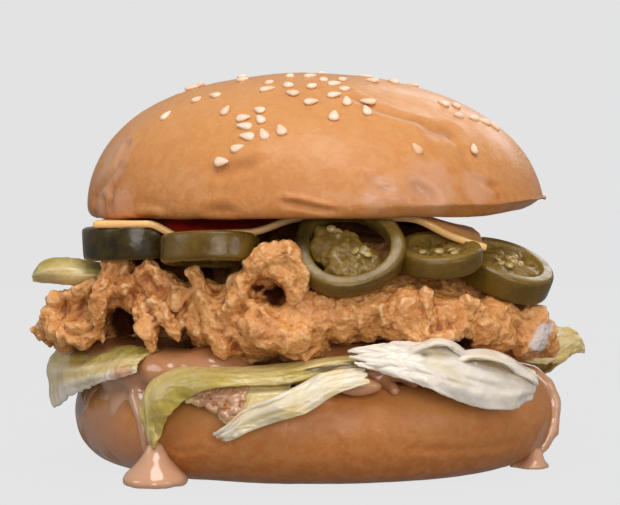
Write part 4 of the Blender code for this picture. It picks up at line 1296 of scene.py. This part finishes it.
# Folds that stand up from the blade leaf, drawn like leaves
bladeFolds = [
    [((17.6, -50.6, 28.6), (17.8, -52.0, 28.2), (18.2, -52.6, 27.4)),
     ((21.4, -51.2, 29.9), (21.7, -52.8, 29.6), (22.0, -53.4, 29.0)),
     ((25.0, -50.6, 30.9), (25.3, -52.2, 30.6), (25.5, -52.8, 29.9)),
     ((28.6, -48.8, 29.8), (28.8, -50.4, 29.2), (28.8, -51.0, 28.4)),
     ((32.6, -46.4, 27.0), (32.8, -47.8, 26.2), (33.0, -48.4, 25.4))],
    [((27.4, -47.8, 27.4), (27.6, -49.2, 26.8), (27.8, -49.8, 26.0)),
     ((32.2, -47.6, 28.4), (32.6, -49.8, 27.4), (32.8, -50.6, 26.4)),
     ((36.8, -44.8, 28.0), (37.4, -47.2, 26.8), (37.8, -48.2, 25.6)),
     ((40.6, -42.0, 26.2), (41.2, -44.6, 25.0), (41.6, -45.8, 23.6)),
     ((43.8, -39.0, 24.4), (44.6, -41.4, 23.2), (45.0, -42.2, 21.6)),
     ((46.0, -37.4, 23.0), (46.6, -39.2, 21.8), (46.8, -40.0, 20.2))],
]
leafCut = {"thickness": 0.75, "long": 110, "wide": 30}


def rearRibs(first, last, reach, count=7):
    ribs = []
    for index in range(count):
        turn = math.radians(first + (last - first) * index / (count - 1))
        out = Vector((math.sin(turn), -math.cos(turn), 0))
        end = math.sin(math.pi * (index + 0.6) / (count + 0.2))
        wave = 0.8 * math.cos(2.2 * index)
        upper = out * 44 + Vector((0, 0, 24.0))
        middle = out * (57.6 + wave) + Vector((0, 0, 22.4))
        lower = out * (58.6 - wave) + Vector((0, 0, 21.6 - reach * end + 0.7 * wave))
        ribs.append((upper, middle, lower))
    return ribs


def leafPoint(ribs, along, across):
    upper, middle, lower = (onLine([rib[column] for rib in ribs], along) for column in range(3))
    return (
        upper * (1 - across) * (1 - 2 * across)
        + middle * 4 * across * (1 - across)
        + lower * across * (2 * across - 1)
    )


def makeLeafMaterial():
    material, tree, shader = newMaterial("lettuceLeaf", {
        "Specular IOR Level": 0.5, "Subsurface Weight": 0.3,
        "Subsurface Radius": (0.003, 0.003, 0.0015), "Coat Weight": 0.15, "Coat Roughness": 0.12,
    })
    at = places(tree)
    pale = attribute(tree, "pale")
    vein = attribute(tree, "vein")
    patches = useGroup(tree, blotches, at, 140.0, 0.2)
    fine = useGroup(tree, blotches, at, 420.0, 0.2)
    green = mixColour(tree, patches, (0.37, 0.275, 0.036), (0.48, 0.37, 0.085))
    cream = mixColour(tree, patches, (0.58, 0.435, 0.165), (0.66, 0.50, 0.225))
    white = mixColour(tree, patches, (0.77, 0.70, 0.60), (0.73, 0.65, 0.55))
    colour = layered(
        tree, green,
        (eased(tree, fine, 0.35), (0.27, 0.17, 0.028)),
        (mapRange(tree, pale, 0.0, 0.6), cream),
        (mapRange(tree, pale, 0.55, 1.0), white),
        (eased(tree, vein, 0.5), (0.80, 0.74, 0.56)),
        (attribute(tree, "stain"), (0.52, 0.24, 0.12)),
        (attribute(tree, "shaded"), (0.13, 0.085, 0.025)),
    )
    feed(tree, shader.inputs["Base Color"], colour)
    feed(tree, shader.inputs["Roughness"], useGroup(tree, wetness, at, 220.0, 0.2, 0.42))
    blisters = addBump(tree, shader, noiseAt(tree, at, 2.4, 4.0), 0.35, 0.6)
    addBump(tree, shader, vein, 0.3, 0.5, blisters)
    return material


leafMaterial = makeLeafMaterial()


# How strongly a vein runs at (along, across): a long one near the middle, side ones off it
def veinAt(along, across, length, seed):
    middle = 0.5 + 0.12 * noise.noise(Vector((along * 3, seed, 0)))
    main = math.exp(-(((across - middle) * 12) ** 2))
    branch = along * length / 5.0 + 1.2 * abs(across - middle) * 2
    branch += 0.35 * noise.noise(Vector((along * 6, across * 3, seed)))
    side = math.exp(-((((branch % 1) - 0.5) * 9) ** 2))
    return max(main * 0.8, 0.7 * side)


def makeLeaf(name, ribs, seed, finish, nodes=()):
    top, bottom, ragged, tornFirst, tornLast, ruffle, veined, pleated = finish
    mesh = bmesh.new()
    bmesh.ops.create_grid(mesh, x_segments=leafCut["long"], y_segments=leafCut["wide"], size=1)
    pale, vein, stain, shaded = addLayers(mesh, "pale", "vein", "stain", "shaded")
    length = sum((Vector(b[1]) - Vector(a[1])).length for a, b in zip(ribs, ribs[1:]))

    def wavy(x, y, z):
        return noise.noise(Vector((x, y, z)))

    for vertex in mesh.verts:
        along = (vertex.co.x + 1) / 2
        across = (vertex.co.y + 1) / 2
        far = along * length
        # ragged long edges and torn ends
        edgeTop = ragged * abs(wavy(far / 3.5, seed, 1))
        edgeLow = ragged * (abs(wavy(far / 3.0, seed, 5)) + 0.4 * abs(wavy(far / 1.1, seed, 7)))
        tooth = abs(2 * ((2.6 * across + 0.2) % 1) - 1) + 0.6 * abs(wavy(across * 5, seed, 3))
        u = tooth * tornFirst + (1 - tooth * (tornFirst + tornLast)) * along
        v = edgeTop + (1 - edgeTop - edgeLow) * across
        point = leafPoint(ribs, u, v)
        out = Vector((point.x, point.y, 0)).normalized()
        # ruffle, most at the long edges, and pleats that run along the leaf
        outer = abs(2 * across - 1)
        wave = 0.55 * math.sin(2.3 * along * len(ribs) + 2 * across) * outer
        fine = wavy(far / 4, across * 2.2, seed)
        finer = wavy(far / 1.6, across * 4, seed + 9)
        pleat = wavy(along * 2.2, across * 6.5, seed + 20)
        pleat += 0.5 * wavy(along * 5.0, across * 13, seed + 27)
        lift = wave + ruffle * (1.1 * fine + 0.35 * finer) * (0.35 + 0.65 * outer)
        lift += 1.1 * pleated * pleat
        veining = veined * veinAt(u, v, length, seed)
        vertex.co = point + out * (lift + 0.16 * veining)
        # paler and darker in patches, and darker in the pleats' valleys, where shade is painted
        wander = 0.25 * noise.noise(point / 6 + Vector((seed, 0, 0))) + 0.45 * pleated * pleat
        vertex[pale] = min(1.0, max(0.0, top + (bottom - top) * across + wander))
        vertex[vein] = veining
        vertex[stain] = leafStain(point)
        # painted shade under the leaves' folds
        vertex[shaded] = max(1 - smooth(distanceTo(line, point), 0.35 * width, width)
                             for line, width in leafShade)
    piece = finishPiece(name, mesh, [leafMaterial], nodes)
    addThickness(piece, leafCut["thickness"], 0)
    rounding = piece.modifiers.new("rounding", "SUBSURF")
    rounding.levels = 1
    rounding.render_levels = 1


def leafName(node):
    first, *rest = node.split("_")
    return first + "".join(word.capitalize() for word in rest)


# Sauce stains on the leaves: middle and width
stains = [((-18, -54, 18), 6.0), ((-23, -52, 19), 4.0), ((-40, -42, 22), 5.0), ((12, -55, 24), 2.2),
          ((-20, -54.4, 10.6), 2.2), ((-47, -36, 18), 4.0)]
# Painted shade along lines under the leaves' folds: width and line
leafShade = [([Vector(point) for point in line], width) for width, line in (
    (1.5, [(22.4, -53.0, 28.2), (24.4, -52.8, 28.8), (27.4, -51.8, 28.2)]),
    (1.3, [(31.0, -51.4, 26.4), (35.0, -50.0, 25.8), (38.0, -48.2, 24.8), (41.0, -46.4, 23.2)]),
    (0.9, [(-2, -53.0, 24.2), (6, -51.4, 25.6), (12, -49.6, 26.4)]),
)]


def leafStain(point):
    near = nearSpot(stains, point, 0.3, 1.0)
    return 0.8 * near * smooth(noise.noise(point / 1.8) + near, 0.2, 0.9)


def makeLeaves():
    for seed, (node, ribs) in enumerate(leaves.items()):
        makeLeaf(leafName(node), ribs, seed + 1, leafFinish[node], [node])
    for seed, (node, sweep) in enumerate(rearLeaves.items()):
        makeLeaf(leafName(node), rearRibs(*sweep), seed + 31, leafFinish[node], [node])
    for seed, ribs in enumerate(bladeFolds):
        makeLeaf("bladeFold" + "AB"[seed], ribs, seed + 51, leafFinish["fold"])


makeLeaves()
print("leaves are tucked in")


# Sauce

sauce = {
    "bed": (47.5, 21.15, 22.7),  # radius, lowest and highest
    "voxel": 0.54, "blending": 10,
    "masses": [
        ((-23.0, -40.0, 24.0), (10.0, 7.4, 4.8)), ((-30.0, -37.6, 23.4), (9.0, 8.4, 5.0)),
        ((-36.0, -33.0, 22.6), (8.4, 8.4, 4.6)), ((-41.5, -27.0, 22.0), (7.4, 8.0, 4.2)),
        ((-40, -20, 25.0), (13, 13, 4.4)), ((3, -49, 22.4), (10, 3.4, 1.8)),
        ((8.4, -52.2, 21.4), (5.4, 2.6, 2.2)), ((28, -36, 24.8), (15, 8, 4.0)),
        ((8, -38, 25.4), (12, 8, 4.6)),
        ((33.0, -43.0, 27.4), (1.6, 1.8, 1.2)), ((48.2, -21, 0.4), (3.9, 3.7, 1.4)),
        ((48.6, -21.4, 1.8), (2.2, 2.0, 3.4)), ((54.2, -16.0, 8.4), (0.8, 1.0, 2.4)),
    ],
    # the cone that the left strand runs into: its middle, and its outline of (radius, height)
    "cone": ((-33.9, -46.0), [(0, 9.4), (1.7, 9.0), (2.1, 7.4), (2.9, 6.0), (4.1, 4.6), (5.7, 3.0),
                              (6.9, 1.7), (7.1, 0.7), (6.7, 0.0), (0, 0)]),
    # azimuth, drop and radius at both ends of each strand
    "drips": [
        ((-52, -4, 3.4), (-47.5, 5, 3.0)), ((-47.5, 5, 3.0), (-41.6, 13, 1.3)),
        ((-41.6, 13, 1.3), (-40.6, 20, 1.2)), ((-40.6, 20, 1.2), (-37.6, 26, 1.6)),
        ((17, -4, 1.8), (18.5, 5, 1.4)), ((8, -4, 1.8), (8, 2.5, 1.8)),
        ((25, -3, 1.5), (25, 2.4, 1.3)), ((33, -3, 1.5), (33, 2.4, 1.3)),
        ((72, -4, 2.1), (75, 12, 2.0)), ((75, 12, 2.0), (71, 22, 1.5)),
        ((71, 22, 1.3), (66, 28, 1.6)), ((140, -4, 2.1), (141, 12, 2.0)),
        ((204, -4, 2.0), (206, 8, 1.8)),
    ],
    "dripLift": 0.7,
    # film over the shoulder: first and last azimuth, lift, radius, and shortest and longest drop
    "film": (-78, -36, -1.4, 2.9, 4.0, 13.0),
    "blobs": (90, 0.72),  # count and radius of the blobs that cling to the torn leaf
}


# A point off the bottom bun's side, drop down its outline and lift off the crust
def bunSide(azimuth, drop, lift):
    turn = math.radians(azimuth)
    shoulder = bottomBun["outline"][1:-1]
    for (radiusA, heightA), (radiusB, heightB) in zip(shoulder, shoulder[1:]):
        length = math.hypot(radiusB - radiusA, heightB - heightA)
        if drop <= length:
            break
        drop -= length
    along = drop / length
    radius = radiusA + (radiusB - radiusA) * along + lift * (heightA - heightB) / length
    height = heightA + (heightB - heightA) * along + lift * (radiusB - radiusA) / length
    return Vector((radius * math.sin(turn), -radius * math.cos(turn), height))


def dripPoint(azimuth, drop, lift):
    if drop < 0:
        turn = math.radians(azimuth)
        radius = bottomBun["outline"][1][0] + drop
        return Vector((radius * math.sin(turn), -radius * math.cos(turn), sauce["bed"][2] - 0.8))
    return bunSide(azimuth, drop, lift)


def makeSauceMaterial():
    material, tree, shader = newMaterial("pinkSauce", {
        "Specular IOR Level": 0.5, "Subsurface Weight": 0.5,
        "Subsurface Radius": (0.004, 0.002, 0.0012), "Coat Weight": 0.5, "Coat Roughness": 0.06,
    })
    at = places(tree)
    height = heightOf(tree, at)
    patches = useGroup(tree, blotches, at, 110.0, 0.2)
    colour = layered(
        tree, mixColour(tree, patches, (0.52, 0.255, 0.120), (0.45, 0.205, 0.088)),
        (mapRange(tree, height, 24 * mm, 29 * mm), (0.29, 0.110, 0.040)),  # painted shade under the chicken
        (mapRange(tree, height, 23.5 * mm, 17 * mm), (0.57, 0.315, 0.190)),  # on the bun
    )
    feed(tree, shader.inputs["Base Color"], colour)
    feed(tree, shader.inputs["Roughness"], useGroup(tree, wetness, at, 200.0, 0.12, 0.26))
    addBump(tree, shader, noiseAt(tree, at, 3.0, 2.0), 0.15, 0.4)
    return material


def makeSauce():
    mesh = bmesh.new()
    radius, low, high = sauce["bed"]
    bed = bmesh.ops.create_cone(mesh, cap_ends=True, segments=96, radius1=radius,
                                radius2=radius - 0.8, depth=high - low)
    bmesh.ops.translate(mesh, vec=(0, 0, (low + high) / 2), verts=bed["verts"])
    for middle, sizes in sauce["masses"]:
        addBall(mesh, middle, sizes)
    for start, end in sauce["drips"]:
        steps = int((end[1] - start[1]) / 0.5)
        for index in range(steps + 1):
            azimuth, drop, size = Vector(start).lerp(Vector(end), index / steps)
            addBall(mesh, dripPoint(azimuth, drop, sauce["dripLift"]), [size] * 3, detail=2)
    first, last, lift, size, shortest, longest = sauce["film"]
    for azimuth in range(first, last + 1):
        wave = 0.5 + 0.9 * noise.noise(Vector((azimuth / 5.0, 3, 1)))
        middle = 1 - abs(2 * azimuth - first - last) / (last - first)
        end = shortest + (longest - shortest) * wave * smooth(middle, 0.0, 0.5)
        for step in range(int(end + 5)):
            addBall(mesh, dripPoint(azimuth, step - 4.0, lift), [size] * 3, detail=2)
    (coneX, coneY), outline = sauce["cone"]
    cone = turnOutline(outline, 48)
    bmesh.ops.translate(cone, vec=(coneX, coneY, 0), verts=cone.verts)
    addShape(mesh, cone)
    mesh = joined(mesh, sauce["voxel"])
    smoothOut(mesh, sauce["blending"])
    pushOut(mesh, lambda place: 0.6 * noise.noise(place / 6) * smooth(place.z, 22, 25)
            + 0.2 * noise.noise(place / 3))
    for vertex in mesh.verts:
        vertex.co.z = max(vertex.co.z, 0.0)
    finishPiece("pinkSauce", mesh, [sauceMaterial], ["sauce"])


# A place on the front of the torn leaf under the curl
def onTornLeaf(draw, lift):
    place = leafPoint(leaves["lettuce_sheet"], draw.uniform(0.12, 0.62), draw.uniform(0.35, 0.92))
    return place + Vector((place.x, place.y, 0)).normalized() * lift


def makeSauceBlobs():
    count, size = sauce["blobs"]
    draw = random.Random(8)
    mesh = bmesh.new()
    for _ in range(count):
        place = onTornLeaf(draw, 0.5)
        addBall(mesh, place, [size * draw.uniform(0.6, 1.4) for _ in range(3)], detail=2)
    mesh = joined(mesh, 0.25)
    smoothOut(mesh, 3)
    pushOut(mesh, lambda place: 0.2 * noise.noise(place / 0.9))
    finishPiece("sauceBlobs", mesh, [sauceMaterial])


sauceMaterial = makeSauceMaterial()
makeSauce()
makeSauceBlobs()
print("sauce has run")


# Loose crumbs

crumbs = {"count": 18, "size": 0.42, "lift": 0.8}


def makeCrumbs():
    draw = random.Random(5)
    mesh = bmesh.new()
    relief, brown, *_ = addLayers(mesh, "relief", "browned", "meat", "shaded")
    size = crumbs["size"]
    for _ in range(crumbs["count"]):
        place = onTornLeaf(draw, crumbs["lift"])
        sizes = [size * draw.uniform(0.5, 1.4) for _ in range(3)]
        matrix = Matrix.Translation(place) @ Matrix.Rotation(draw.uniform(0, 3), 4, "Z")
        matrix = matrix @ Matrix.Diagonal((*sizes, 1))
        made = bmesh.ops.create_icosphere(mesh, subdivisions=2, radius=1, matrix=matrix)
        for vertex in made["verts"]:
            vertex.co += 0.35 * size * noise.noise_vector(vertex.co / 0.5)
            vertex[relief] = draw.uniform(0.2, 0.5)
            vertex[brown] = 0.6
    finishPiece("looseCrumbs", mesh, [crustMaterial])


makeCrumbs()
print("crumbs are scattered")
